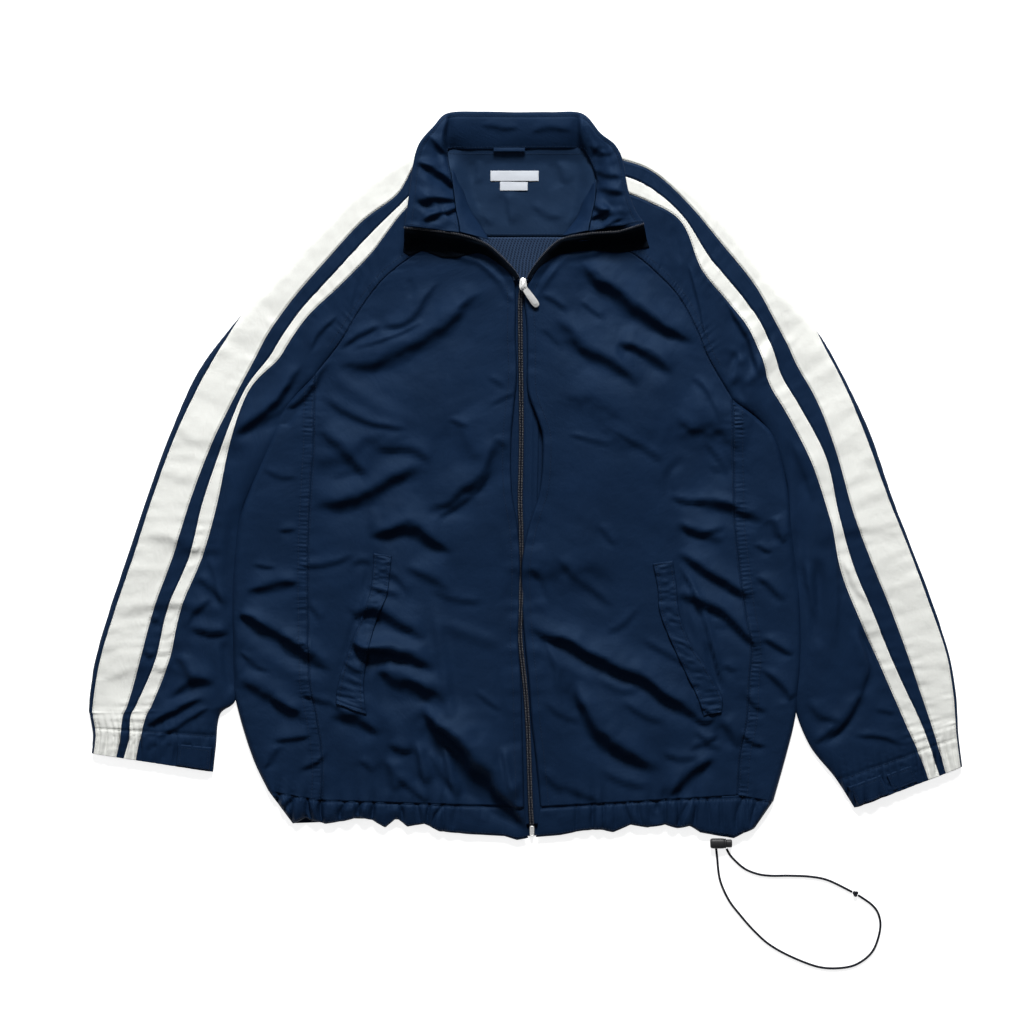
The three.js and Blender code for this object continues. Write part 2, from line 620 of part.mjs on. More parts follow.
function sidePoint(ends, share, below, inset) {
  return tubePoint(ends.edge, ends.seam, share, below, inset, 0, bodyEdgeReach, 0);
}

// Side panel from the front seam round the fold to the back seam
function sidePanel(side) {
  const body = bodies[side];
  const first = body.underarmRow + 0.15;
  const last = body.rows.length - 1;
  const shares = [-1, -0.05, 0, 0.04, 0.1, 0.3, 0.53, 0.76, 1];
  const rows = [first, ...steps(body.underarmRow + 0.5, last, (last - body.underarmRow) * 2 - 1)];
  const grids = [0, clothThickness].map((inset) => rows.map((row) => {
    const ends = bodyEnds(body, row);
    const gap = seamGap / 2 / ends.edge.distanceTo(ends.seam);
    return shares.map((share) => sidePoint(ends, Math.abs(share) * (1 - gap), share < 0, inset));
  }));
  return wall(`side_${side}`, grids[0], grids[1], navy);
}

// Back panel between the two back seams, flat on the floor
function backPanel() {
  const { left, right } = bodies;
  const backSeam = (sleeve, row) => {
    const { outer, inner } = sleeveEnds(sleeve, row);
    const width = outer.distanceTo(inner);
    const share = Math.min(1, along(sleeve.rows, 'backSeam', row));
    const foldAllowance = clothThickness * Math.max(0, 1 - share * width / insetReach);
    return outer.lerp(inner, share + foldAllowance / width);
  };
  const leftLine = [];
  const rightLine = [];
  for (const row of steps(0, left.underarmRow, left.underarmRow * 2)) {
    leftLine.push(backSeam(sleeves.left, row));
  }
  for (const row of steps(0, right.underarmRow, right.underarmRow * 2)) {
    rightLine.push(backSeam(sleeves.right, row));
  }
  const seamLine = (body, line) => {
    const last = body.rows.length - 1;
    for (const row of steps(body.underarmRow, last, (last - body.underarmRow) * 2).slice(1)) {
      line.push(bodyEnds(body, row).seam);
    }
  };
  seamLine(left, leftLine);
  seamLine(right, rightLine);
  const shape = new THREE.Shape([
    ...leftLine.map((p) => new THREE.Vector2(p.x + seamGap / 2, p.y)),
    ...rightLine.reverse().map((p) => new THREE.Vector2(p.x - seamGap / 2, p.y)),
  ]);
  const geometry = new THREE.ExtrudeGeometry(shape, { depth: clothThickness, bevelEnabled: false });
  return solid('back', geometry, navy);
}

function stripped(geometry) {
  geometry.deleteAttribute('normal');
  geometry.deleteAttribute('uv');
  return geometry;
}

function solid(name, geometry, material) {
  const mesh = new THREE.Mesh(mergeVertices(stripped(geometry), 1e-4), material);
  mesh.name = name;
  return mesh;
}

// Height of a hem's gathers along its length, none beside the zip
function gathers(x) {
  const pull = ease(70, 110, Math.abs(x));
  return pull * (1.1 * Math.sin(x / 1.9) + 0.5 * Math.sin(x / 3.1 + 1));
}

function lineY(points, x) {
  const sorted = [...points].sort((a, b) => a[0] - b[0]);
  if (x <= sorted[0][0]) return sorted[0][1];
  for (let index = 0; index < sorted.length - 1; index += 1) {
    const [[ax, ay], [bx, by]] = [sorted[index], sorted[index + 1]];
    if (x <= bx) return mix(ay, by, (x - ax) / (bx - ax));
  }
  return sorted[sorted.length - 1][1];
}

// Hem casing of one half: from the zip over the front, round the side fold, to the back seam
function hemPanel(side) {
  const body = bodies[side];
  const last = body.rows.length - 1;
  const ends = bodyEnds(body, last);
  const outline = hemLine[side];
  const corner = new THREE.Vector2(...outline[0]);
  const zipFoot = new THREE.Vector2(...outline[outline.length - 1]);
  const frontCount = 46;
  const depth = 2.4;
  const rowShares = [0.02, 0.4, 1];
  const grids = [0, depth].map((inset) => rowShares.map((down) => {
    const points = [];
    for (const share of steps(0, 1, frontCount)) {
      const top = share < 0.5
        ? ends.zip.clone().lerp(ends.seam, share * 2)
        : ends.seam.clone().lerp(ends.edge, share * 2 - 1);
      const footX = mix(zipFoot.x, corner.x, share);
      const x = mix(top.x, footX, down);
      const y = mix(top.y, lineY(outline, footX), down);
      const fromEdge = Math.hypot(x - mix(ends.edge.x, corner.x, down), 0) + 0.01;
      const run = Math.max(inset, fromEdge);
      const inward = -body.side * (run - fromEdge);
      const round = rounded(run - inset, bodyEdgeReach);
      const wave = gathers(x) * Math.sin(Math.PI * Math.min(1, down + 0.15));
      const level = clothHeight(x, y) - 0.6 + wave * (1 - inset / depth);
      points.push(new THREE.Vector3(x + inward, y, foldRadius + (level - inset - foldRadius) * round));
    }
    const under = [0.12, 0.4, 1].map((share) => {
      const top = ends.edge.clone().lerp(ends.seam, share);
      const footX = mix(corner.x, ends.seam.x, share);
      const x = mix(top.x, footX, down) - body.side * inset * (1 - share);
      const y = mix(top.y, mix(corner.y, lineY(outline, ends.seam.x), share), down);
      return new THREE.Vector3(x, y, Math.min(inset, clothThickness));
    });
    return [...points, ...under];
  }));
  return wall(`hem_${side}`, grids[0], grids[1], navy);
}

// Hem casing of the back, flat on the floor between the two back seams
function hemBack() {
  const leftEnds = bodyEnds(bodies.left, bodies.left.rows.length - 1);
  const rightEnds = bodyEnds(bodies.right, bodies.right.rows.length - 1);
  const from = leftEnds.seam.x + seamGap;
  const to = rightEnds.seam.x - seamGap;
  const grid = [0.012, 1].map((down) => steps(from, to, 16).map((x) => {
    const share = (x - from) / (to - from);
    const topY = mix(leftEnds.seam.y, rightEnds.seam.y, share) - 0.3;
    const footY = lineY([...hemLine.left, ...hemLine.right], x) + 1.5;
    return new THREE.Vector3(x, mix(topY, footY, down), clothThickness);
  }));
  return panel('hem_back', grid, clothThickness, navy);
}

// Collar standing from the neck seam and leaning outward, open at the front
function collar() {
  const rowCount = collarRows.length - 1;
  const grid = steps(0, rowCount, rowCount * 2).map((row) => {
    const value = (name) => along(collarRows, name, row);
    const seam = new THREE.Vector3(value('seamX'), value('seamY'), value('seamZ') + 0.8 + collarThickness);
    const top = new THREE.Vector3(value('topX'), value('topY'), value('topZ'));
    return steps(0, 1, 5).map((share) => {
      const point = seam.clone().lerp(top, share);
      point.z += value('belly') * Math.sin(Math.PI * share);
      return point;
    });
  });
  return leaningPanel('collar', grid, collarThickness, navy);
}

function facing(side) {
  const rows = facingRows[side];
  const rowCount = rows.length - 1;
  const grid = steps(0, rowCount, rowCount * 2).map((row) => {
    const value = (name) => along(rows, name, row);
    const seam = new THREE.Vector3(value('seamX'), value('seamY'), value('seamZ'));
    const roll = new THREE.Vector3(value('rollX'), value('rollY'), value('rollZ'));
    return steps(0, 1, 3).map((share) => {
      const point = seam.clone().lerp(roll, share);
      point.z += 1.5 * Math.sin(Math.PI * share);
      return point;
    });
  });
  return panel(`facing_${side}`, grid, clothThickness, navy);
}

function flatPanel(name, rows, level, thickness, divisions, material) {
  const grid = rows.map((row) => steps(row.leftX, row.rightX, divisions)
    .map((x) => new THREE.Vector3(x, row.y, level)));
  return panel(name, grid, thickness, material);
}

// Flat plate of cloth from its middle, size and lowest level
function plate(name, x, y, width, length, level, thickness, material) {
  const rows = [{ leftX: x - width / 2, rightX: x + width / 2, y: y + length / 2 },
    { leftX: x - width / 2, rightX: x + width / 2, y: y - length / 2 }];
  return flatPanel(name, rows, level + thickness, thickness, 2, material);
}

function welt(side) {
  const rows = weltRows[side];
  const rowCount = rows.length - 1;
  const thickness = 1.4;
  const grid = steps(0, rowCount, rowCount * 2).map((row) => {
    const value = (name) => along(rows, name, row);
    return steps(0, 1, 3).map((share) => {
      const x = mix(value('openX'), value('stitchX'), share);
      const y = mix(value('openY'), value('stitchY'), share);
      return new THREE.Vector3(x, y, clearHeight(x, y) + appliedLift + 0.5 + thickness);
    });
  });
  return panel(`pocket_welt_${side}`, grid, thickness, navy);
}

// Strap or patch lying on a sleeve between two rows and two shares of the section
function sleevePatch(name, sleeve, rowSpan, shareSpan, lift, thickness, material) {
  const layers = [lift + thickness, lift].map((height) => steps(rowSpan[0], rowSpan[1], 3)
    .map((row) => steps(shareSpan[0], shareSpan[1], 6).map((share) => {
      const point = sleevePoint(sleeve, row, share, false, 0);
      point.z += height;
      return point;
    })));
  return wall(name, layers[0], layers[1], material);
}

// Bar of rectangular section along a line of points on its top face
function bar(name, points, width, height, material) {
  const line = points.map((point) => new THREE.Vector3(...point));
  const grid = line.map((point, index) => {
    const before = line[Math.max(0, index - 1)];
    const after = line[Math.min(line.length - 1, index + 1)];
    const across = new THREE.Vector3(before.y - after.y, after.x - before.x, 0).setLength(width / 2);
    return [point.clone().add(across), point.clone().sub(across)];
  });
  return panel(name, grid, height, material);
}

// Solid of a closed geometry, for joining
function bodyOf(geometry) {
  const merged = mergeVertices(stripped(geometry), 1e-4);
  return new wasm.Manifold(new wasm.Mesh({
    numProp: 3,
    vertProperties: new Float32Array(merged.attributes.position.array),
    triVerts: new Uint32Array(merged.index.array),
  }));
}

// Slider of the zip with the arch that its pull hangs in. The arch points along the pull.
function slider() {
  const half = sliderWidth / 2;
  const outline = new THREE.Shape();
  outline.moveTo(-half * 0.7, -sliderLength / 2);
  outline.lineTo(half * 0.7, -sliderLength / 2);
  outline.lineTo(half, sliderLength * 0.15);
  outline.absarc(0, sliderLength * 0.15, half, 0, Math.PI, false);
  const body = new THREE.ExtrudeGeometry(outline, {
    depth: sliderHeight, bevelEnabled: false, curveSegments: 8,
  });
  body.translate(sliderPlace.x, sliderPlace.y, sliderPlace.z);
  const foot = pullHinge.z - sliderPlace.z - sliderHeight + 0.4;
  const ring = new THREE.Shape();
  ring.moveTo(-archOuter, -foot);
  ring.lineTo(archOuter, -foot);
  ring.lineTo(archOuter, 0);
  ring.absarc(0, 0, archOuter, 0, Math.PI, false);
  ring.lineTo(-archOuter, -foot);
  const hole = new THREE.Path();
  hole.absarc(0, 0, archInner, 0, Math.PI * 2, true);
  ring.holes.push(hole);
  const arch = new THREE.ExtrudeGeometry(ring, {
    depth: archWidth, bevelEnabled: false, curveSegments: 8,
  });
  arch.translate(0, 0, -archWidth / 2);
  arch.rotateX(Math.PI / 2);
  arch.rotateZ(pullHeading - Math.PI / 2);
  arch.translate(pullHinge.x, pullHinge.y, pullHinge.z);
  const joined = bodyOf(body).add(bodyOf(arch)).getMesh();
  const geometry = new THREE.BufferGeometry();
  geometry.setAttribute('position', new THREE.BufferAttribute(joined.vertProperties, 3));
  geometry.setIndex(new THREE.BufferAttribute(joined.triVerts, 1));
  const mesh = new THREE.Mesh(geometry, silver);
  mesh.name = 'slider';
  return mesh;
}

// Pull: a flat tab whose end bar turns in the slider's arch
function pullTab() {
  const half = pullWidth / 2;
  const outline = new THREE.Shape();
  outline.moveTo(-pullNeck, pullBar);
  outline.lineTo(-pullNeck, -eyeLength - 1);
  outline.lineTo(-half, -pullLength + 2);
  outline.quadraticCurveTo(-half, -pullLength, -half + 2, -pullLength);
  outline.lineTo(half - 2, -pullLength);
  outline.quadraticCurveTo(half, -pullLength, half, -pullLength + 2);
  outline.lineTo(pullNeck, -eyeLength - 1);
  outline.lineTo(pullNeck, pullBar);
  outline.lineTo(-pullNeck, pullBar);
  const eye = new THREE.Path();
  eye.moveTo(-eyeHalf, -pullBar);
  eye.lineTo(-eyeHalf, -eyeLength);
  eye.lineTo(eyeHalf, -eyeLength);
  eye.lineTo(eyeHalf, -pullBar);
  eye.lineTo(-eyeHalf, -pullBar);
  outline.holes.push(eye);
  const geometry = new THREE.ExtrudeGeometry(outline, {
    depth: pullThickness, bevelEnabled: false, curveSegments: 4,
  });
  geometry.translate(0, 0, -pullThickness / 2);
  const mesh = solid('pull_tab', geometry, silver);
  mesh.rotation.set(pullSlope, 0, pullHeading, 'ZXY');
  mesh.position.copy(pullHinge);
  return mesh;
}

function cord(name, route) {
  const points = route.map(([x, y]) => new THREE.Vector3(x, y, cordHeight));
  const path = new THREE.CatmullRomCurve3(points);
  const section = new THREE.Shape(Array.from({ length: cordSides }, (_, index) => {
    const angle = (index + 0.5) * Math.PI * 2 / cordSides;
    return new THREE.Vector2(Math.cos(angle), Math.sin(angle)).multiplyScalar(cordDiameter / 2);
  }));
  const stepCount = Math.round(path.getLength() / (cordDiameter * 3.4));
  const geometry = new THREE.ExtrudeGeometry(section, {
    steps: stepCount, extrudePath: path, bevelEnabled: false,
  });
  return solid(name, geometry, black);
}

function boxSolid(name, place, size, material) {
  const geometry = new THREE.BoxGeometry(size.x, size.y, size.z);
  geometry.translate(place.x, place.y, place.z);
  return solid(name, geometry, material);
}

function knot() {
  const geometry = new THREE.SphereGeometry(knotRadius, 10, 8);
  geometry.translate(knotPlace.x, knotPlace.y, knotPlace.z);
  return solid('cord_knot', geometry, black);
}

const jacket = new THREE.Group();
jacket.add(
  backPanel(),
  flatPanel('mesh_lining', liningRows, linerHeight + 1, 1, 2, navyLining),
  flatPanel('inner_yoke', yokeRows, linerHeight + yokeThickness, yokeThickness, 2, navyLining),
  ...sleeveParts('left'),
  ...sleeveParts('right'),
  frontPanel('left'),
  frontPanel('right'),
  sidePanel('left'),
  sidePanel('right'),
  hemPanel('left'),
  hemPanel('right'),
  hemBack(),
  collar(),
  facing('left'),
  facing('right'),
  welt('left'),
  welt('right'),
  plate('hang_loop', -14.5, 338, 33, 4, 3.2, 1.2, navy),
  plate('neck_label', -11.5, 314, 50.6, 11, 3.1, 0.7, offWhite),
  plate('size_label', -12.3, 303.3, 29, 9.4, 3.1, 0.5, offWhite),
  sleevePatch('cuff_tab_left', sleeves.left, [15.3, 15.92], [0.66, 0.94], 0.5, 1.5, navy),
  sleevePatch('cuff_tab_right', sleeves.right, [16.3, 16.92], [0.68, 0.96], 0.5, 1.5, navy),
  sleevePatch('cuff_patch_right', sleeves.right, [16.35, 16.87], [0.42, 0.64], 0.5, 1, navy),
  bar('zip_left', zipRows.left, zipWidth, zipHeight, black),
  bar('zip_right', zipRows.right, zipWidth, zipHeight, black),
  boxSolid('zip_stop', new THREE.Vector3(6.7, -372.5, 5), new THREE.Vector3(5, 11, 4), silver),
  slider(),
  pullTab(),
  boxSolid('cord_lock', lockPlace, lockSize, black),
  cord('drawcord_a', cordRoutes.a),
  cord('drawcord_b', cordRoutes.b),
  knot(),
);

export default jacket;
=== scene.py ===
# Track jacket laid flat on its back: the looks of every piece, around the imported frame.
# The plan is in millimetres, as in the part's source. Meshes are made in metres.
import math

import bpy
import numpy as np
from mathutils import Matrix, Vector


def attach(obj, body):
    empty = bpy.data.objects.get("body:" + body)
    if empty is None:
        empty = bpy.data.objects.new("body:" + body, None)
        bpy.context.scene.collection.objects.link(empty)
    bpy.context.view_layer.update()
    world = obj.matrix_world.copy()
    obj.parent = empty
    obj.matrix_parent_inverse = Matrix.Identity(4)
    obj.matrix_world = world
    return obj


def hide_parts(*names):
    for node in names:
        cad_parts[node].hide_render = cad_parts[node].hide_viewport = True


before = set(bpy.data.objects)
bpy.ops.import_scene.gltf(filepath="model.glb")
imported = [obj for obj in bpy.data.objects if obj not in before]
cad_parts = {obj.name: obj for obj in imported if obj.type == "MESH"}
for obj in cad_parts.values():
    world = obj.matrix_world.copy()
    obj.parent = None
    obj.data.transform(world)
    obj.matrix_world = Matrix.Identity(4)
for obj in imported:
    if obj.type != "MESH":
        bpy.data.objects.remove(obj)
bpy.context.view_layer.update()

MM = 0.001

# Driving sizes
CLOTH_THICKNESS = 0.7
SEAM_GAP = 0.1
FOLD_RADIUS = 3.4
QUIET_HEIGHT = 8.6
LEAST_HEIGHT = 5.2
BODY_EDGE_REACH = 7
SLEEVE_OUTER_REACH = 10
SLEEVE_INNER_REACH = 16
INSET_REACH = 12
NECK_REACH = 13
SLEEVE_CLEARANCE = -3.5
COLLAR_THICKNESS = 1.8
MESH_STEP = 2.7
STITCH_PITCH = 3.1
STITCH_LENGTH = 2.2
THREAD_RADIUS = 0.27
LOWER_TAPE_WIDTH = 18
# Widths of the upper zip band along the plan, stretched past the band itself to the lower edge of the painted shade
# under the collar's open edges
TAPE_PLACES = [-130, -120, -106, -84, -68, -58, -46, -18, -8, 4, 12, 36, 65, 94, 124]
TAPE_AND_SHADE_WIDTHS = [21, 27, 20, 25, 24, 18, 12, 7, 5, 4, 6, 15, 16, 20, 24]
TOOTH_PITCH = 1.7
CORD_DIAMETER = 2.5

# Camera: straight above, aimed at the middle of the photograph
PIXEL_SIZE = 1.05
PHOTO_WIDTH = 1024
PHOTO_MIDDLE = (-14.2, -38.3)
PLAN_ACROSS = 525.5
PLAN_DOWN = 475.5
CAMERA_HEIGHT = 2.6
SENSOR_WIDTH = 36


def table(columns, rows):
    """Rows of numbers as one array for each named column."""
    values = np.array(rows, float)
    return {name: values[:, index] for index, name in enumerate(columns)}


# Plan of each sleeve, a row per section from the neck to the cuff
SLEEVE_COLUMNS = [
    "outerX", "outerY", "innerX", "innerY", "wideFrom", "wideTo", "narrowFrom", "narrowTo", "backSeam",
]
SLEEVE_LEFT_ROWS = table(SLEEVE_COLUMNS, [
    [-83, 344, -77, 250, -0.03, 0.03, 0.24, 0.34, 0.06],
    [-115, 340, -100, 241, -0.20, 0.12, 0.36, 0.46, 0.42],
    [-140, 326, -122, 227, -0.20, 0.32, 0.44, 0.53, 0.72],
    [-181, 295, -150, 204, -0.12, 0.32, 0.50, 0.67, 0.90],
    [-226, 247, -174, 172, -0.10, 0.31, 0.48, 0.63, 1],
    [-270, 200, -194, 139, -0.05, 0.31, 0.45, 0.55, 1],
    [-311, 153, -220, 106, 0.03, 0.37, 0.50, 0.59, 1],
    [-345, 106, -249, 77, 0.08, 0.46, 0.52, 0.56, 1],
    [-373, 43, -272, 22, 0.06, 0.43, 0.53, 0.60, 1],
    [-396, -20, -299, -33, 0.06, 0.45, 0.58, 0.73, 1],
    [-417, -83, -305, -82, 0.06, 0.42, 0.57, 0.69, 1],
    [-437, -143, -308, -135, 0.05, 0.36, 0.47, 0.58, 1],
    [-452, -196, -308, -187, 0.04, 0.33, 0.44, 0.54, 1],
    [-458, -241, -307, -234, 0.03, 0.27, 0.33, 0.44, 1],
    [-457, -252, -324, -251, 0.03, 0.26, 0.32, 0.44, 1],
    [-454, -271, -328, -283, 0.03, 0.23, 0.30, 0.39, 1],
    [-455, -291, -331, -310, 0.02, 0.21, 0.27, 0.37, 1],
])
SLEEVE_RIGHT_ROWS = table(SLEEVE_COLUMNS, [
    [62, 344, 72, 248.5, -0.03, 0.03, 0.22, 0.36, 0.06],
    [99, 342, 89, 243, -0.20, 0.11, 0.27, 0.43, 0.40],
    [134, 326, 115, 230, -0.24, 0.08, 0.25, 0.40, 0.70],
    [175, 300, 141, 208, -0.18, 0.16, 0.31, 0.37, 0.88],
    [213, 263, 162, 184, -0.14, 0.21, 0.42, 0.58, 0.97],
    [249, 216, 180, 150, -0.16, 0.18, 0.37, 0.53, 1],
    [283, 180, 191, 123, -0.08, 0.26, 0.39, 0.52, 1],
    [311, 144, 216, 80, 0.02, 0.32, 0.48, 0.61, 1],
    [337, 97, 253, 54, 0.04, 0.38, 0.57, 0.73, 1],
    [362, 43, 276, -3, 0.06, 0.41, 0.53, 0.69, 1],
    [385, -24, 279, -57, 0.04, 0.39, 0.52, 0.61, 1],
    [404, -73, 287, -112, 0.03, 0.36, 0.51, 0.62, 1],
    [424, -125, 289, -164, 0.03, 0.31, 0.44, 0.55, 1],
    [443, -183, 288, -204, 0.02, 0.27, 0.38, 0.47, 1],
    [451, -225, 285, -239, 0.02, 0.22, 0.30, 0.39, 1],
    [453, -251, 301, -282, 0.02, 0.19, 0.25, 0.35, 1],
    [454, -272, 328, -316, 0.02, 0.18, 0.24, 0.34, 1],
    [458, -305, 348, -347, 0.02, 0.16, 0.22, 0.32, 1],
])
SLEEVES = {
    "left": {"rows": SLEEVE_LEFT_ROWS, "underarm": 6, "neck_bow": 3},
    "right": {"rows": SLEEVE_RIGHT_ROWS, "underarm": 7, "neck_bow": 7},
}

# Plan of each half of the body, a row per section from the neck to the hem seam
BODY_COLUMNS = ["edgeX", "edgeY", "seamX", "seamY", "zipX", "zipY"]
BODY_LEFT_ROWS = table(BODY_COLUMNS, [
    [-77, 250, -77, 250, -64, 244.5],
    [-100, 241, -100, 241, -41.5, 237.5],
    [-122, 227, -122, 227, -26.5, 225.5],
    [-150, 204, -150, 204, -14, 210],
    [-174, 172, -174, 172, -10, 184],
    [-194, 139, -194, 139, -10.5, 150],
    [-220, 106, -220, 106, -9, 107],
    [-254, 69, -222, 69, -12.5, 69],
    [-268, 36, -222, 36, -15, 36],
    [-289, -14, -225, -14, -14.5, -14],
    [-302, -52, -227, -52, -8.5, -52],
    [-306, -89, -228, -89, -5.7, -89],
    [-308, -129, -228, -129, -6, -129],
    [-307, -180, -227, -180, -7.3, -173],
    [-307, -218, -226, -218, -4.5, -218],
    [-299, -256, -219, -256, -3.5, -259],
    [-285, -299, -213, -299, -2.5, -301],
    [-270, -330, -214, -340, -1.5, -347],
])
BODY_RIGHT_ROWS = table(BODY_COLUMNS, [
    [72, 248.5, 72, 248.5, 64, 245],
    [89, 243, 89, 243, 39, 242],
    [115, 230, 115, 230, 24, 231],
    [141, 208, 141, 208, 8.5, 211],
    [162, 184, 162, 184, -0.5, 188],
    [180, 150, 180, 150, 1.2, 155],
    [191, 123, 191, 123, 1.6, 126],
    [216, 80, 216, 80, 2.5, 88],
    [245, 58, 217, 58, 13, 58],
    [263, 36, 217, 36, 18, 36],
    [275, -14, 218, -14, 15, -14],
    [279, -52, 219, -52, 3.5, -52],
    [283.5, -89, 223, -89, -3.7, -89],
    [287.5, -129, 228, -129, -4, -129],
    [289, -180, 236, -180, -1, -173],
    [287, -218, 234, -218, 3.5, -218],
    [282.5, -256, 232, -256, 6.5, -259],
    [273.5, -293, 225, -293, 11.5, -301],
    [260, -341, 222, -335, 15.5, -347],
])
BODIES = {
    "left": {"rows": BODY_LEFT_ROWS, "underarm": 6, "side": -1},
    "right": {"rows": BODY_RIGHT_ROWS, "underarm": 7, "side": 1},
}

# Lower outline of the hem, from the side fold to the zip
HEM_LINE = {
    "left": table(["x", "y"], [
        [-244, -365], [-231, -359], [-210, -365], [-190, -362], [-174, -358], [-161, -361],
        [-147, -369], [-135, -359], [-124, -368], [-106, -365], [-90, -373], [-58, -376], [-22, -378],
        [-9, -382], [2.6, -380],
    ]),
    "right": table(["x", "y"], [
        [11, -379], [36, -377], [60, -372], [78, -371], [92, -374], [110, -366], [128, -369], [146, -366],
        [160, -370], [172, -367], [183, -374], [199, -377], [218, -380], [228, -375], [240, -370],
    ]),
}

# The neck line: height of the cloth edge along the neck seam and the open front edges
NECK_LINE = table(["x", "y", "z"], [
    [-82, 340, 7], [-79, 321, 10], [-76, 300, 14], [-73, 277, 19], [-68, 248, 23.5], [-40, 239, 21],
    [-25, 227, 17], [-12, 213, 13], [-3, 200, 9.6], [7, 214, 13], [22, 234, 17], [38, 245, 21],
    [65, 249, 23.5], [69, 270, 20], [73, 289, 17], [74, 308, 13], [70, 323, 9], [65, 333, 7],
])

# Collar, a row per section from its left zip end round the back of the neck to its right zip end
COLLAR_ROWS = table(["seamX", "seamY", "seamZ", "topX", "topY", "topZ", "belly"], [
    [-69, 252.5, 24, -126, 259, 30, 2],
    [-70, 262, 22.5, -123, 278, 31, 3],
    [-73, 277, 19, -120, 300, 31, 5],
    [-76, 300, 14, -117, 322, 31, 5],
    [-79, 321, 10, -111, 344, 30, 3],
    [-81, 334, 7, -96, 363, 25, 3],
    [-79, 341, 5.5, -81, 378, 18, 2],
    [-53, 341, 5, -46, 380, 15, 1],
    [-11, 342, 5, -11, 379.5, 14, 1],
    [28, 342, 5, 26, 379.5, 15, 1],
    [58, 341, 5.5, 59, 377.5, 18, 2],
    [65, 333, 7, 78, 356, 25, 3],
    [70, 323, 9, 93, 343, 30, 3],
    [74, 308, 13, 101, 326, 31, 5],
    [73, 289, 17, 106, 298, 31, 5],
    [69, 270, 20, 114, 275, 31, 3],
    [66, 254, 24, 122.5, 263, 30, 2],
])

# Facings turned out beside the neck opening, a row per section from the back to the open edge
FACING_COLUMNS = ["seamX", "seamY", "seamZ", "rollX", "rollY", "rollZ"]
FACING_ROWS = {
    "left": table(FACING_COLUMNS, [
        [-77.9, 318, 13, -73, 317, 8],
        [-75.2, 300, 16.5, -66, 300, 9],
        [-72.3, 277, 21.2, -57, 277, 10],
        [-69.3, 263, 24.4, -46, 260, 12],
        [-68.2, 253, 26, -38, 246, 17],
    ]),
    "right": table(FACING_COLUMNS, [
        [72.9, 306, 16.2, 69, 304, 9],
        [72.2, 289, 19.4, 61, 290, 9],
        [68.3, 270, 22.6, 54, 271, 10],
        [66.4, 262, 24.4, 46, 260, 12],
        [65.2, 254.5, 26, 38, 250, 17],
    ]),
}

# Yoke lining and mesh lining seen in the neck opening: left and right ends of each row
YOKE_ROWS = table(["leftX", "rightX", "y"], [
    [-84, 70, 347], [-82, 76, 321], [-76, 74, 300], [-66, 66, 277], [-54, 54, 262], [-46, 46, 251],
])
LINING_ROWS = table(["leftX", "rightX", "y"], [
    [-50, 50, 250], [-46, 46, 240], [-38, 38, 225], [-28, 26, 210], [-18, 14, 195],
])

# Main folds: three points of the steep line, the height of the ridge on the left of it going from
# start to end, and the distance from the line to the crest
FOLD_COLUMNS = ["x0", "y0", "x1", "y1", "x2", "y2", "height", "reach"]
FOLDS = [
    [-200, 106, -104, 136, -40, 192, 4.5, 14],
    [-153, 155, -118, 161, -91, 205, 2.5, 8],
    [-218, 48, -190, 25, -163, -5, 3, 9],
    [-161, 26, -121, 24, -98, 12, 2.5, 7],
    [-222, -40, -160, -20, -100, 14, 5, 14],
    [-104, -40, -50, -10, -24, 36, 4, 12],
    [57, 224, 100, 180, 178, 132, 6.5, 12],
    [31, 166, 72, 124, 122, 93, 4.5, 13],
    [94, 138, 122, 130, 156, 106, 4.5, 11],
    [173, -31, 215, -36, 250, -50, 3, 9],
    [-162, -70, -125, -56, -74, -84, 5.5, 12],
    [-127, -94, -102, -108, -79, -126, 2, 8],
    [-184, -178, -150, -188, -118, -196, 4.5, 8],
    [-182, -148, -150, -150, -104, -178, 5.5, 12],
    [-184, -184, -140, -186, -92, -206, 6.5, 12],
    [-160, -210, -128, -218, -82, -240, 6.5, 13],
    [-116, -244, -62, -294, 4, -376, 11, 14],
    [-90, -278, -86, -306, -74, -341, 4, 7],
    [-116, -276, -113, -305, -106, -326, 4, 7],
    [-150, -297, -143, -315, -136, -332, 3, 8],
    [-207, -250, -175, -258, -152, -274, 3.5, 9],
    [-304, -144, -255, -172, -200, -208, 4, 9],
    [-304, -216, -268, -236, -230, -264, 3.5, 12],
    [150, 58, 190, 36, 230, 20, 4, 34],
    [-230, 2, -170, 20, -116, 40, 3, 26],
    [-80, 58, -60, 34, -44, 10, 2.6, 18],
    [-20, -90, 40, -110, 100, -112, 2.6, 26],
    [40, 90, 80, 60, 120, 20, 2.2, 26],
    [-27, -283, -22, -310, -14, -343, 3.5, 7],
    [-293, -126, -262, -116, -236, -111, 3, 9],
    [-305, 37, -272, 63, -228, 116, 4.5, 9],
    [-4, -156, 95, -202, 196, -260, 6.5, 9],
    [52, -212, 72, -270, 142, -314, 6.5, 11],
    [156, -80, 199, -108, 240, -130, 4, 8],
    [154, -124, 204, -146, 246, -186, 4.5, 8],
    [146, -341, 173, -314, 201, -298, 4, 8],
    [203, -256, 214, -268, 222, -286, 3, 8],
    [155, -55, 185, -62, 210, -70, 2, 8],
    [255, -45, 262, -56, 270, -72, 2.5, 7],
    [-380, 50, -330, 30, -285, 25, 1.2, 12],
    [-400, -60, -360, -78, -312, -84, 1.4, 11],
    [-428, -150, -380, -140, -318, -150, 1.2, 12],
    [-446, -215, -395, -205, -330, -222, 1.2, 11],
    [222, 130, 216, 112, 213, 94, 3, 7],
    [262, 150, 240, 122, 228, 92, 2.4, 9],
    [300, -70, 340, -60, 392, -66, 0.8, 12],
]

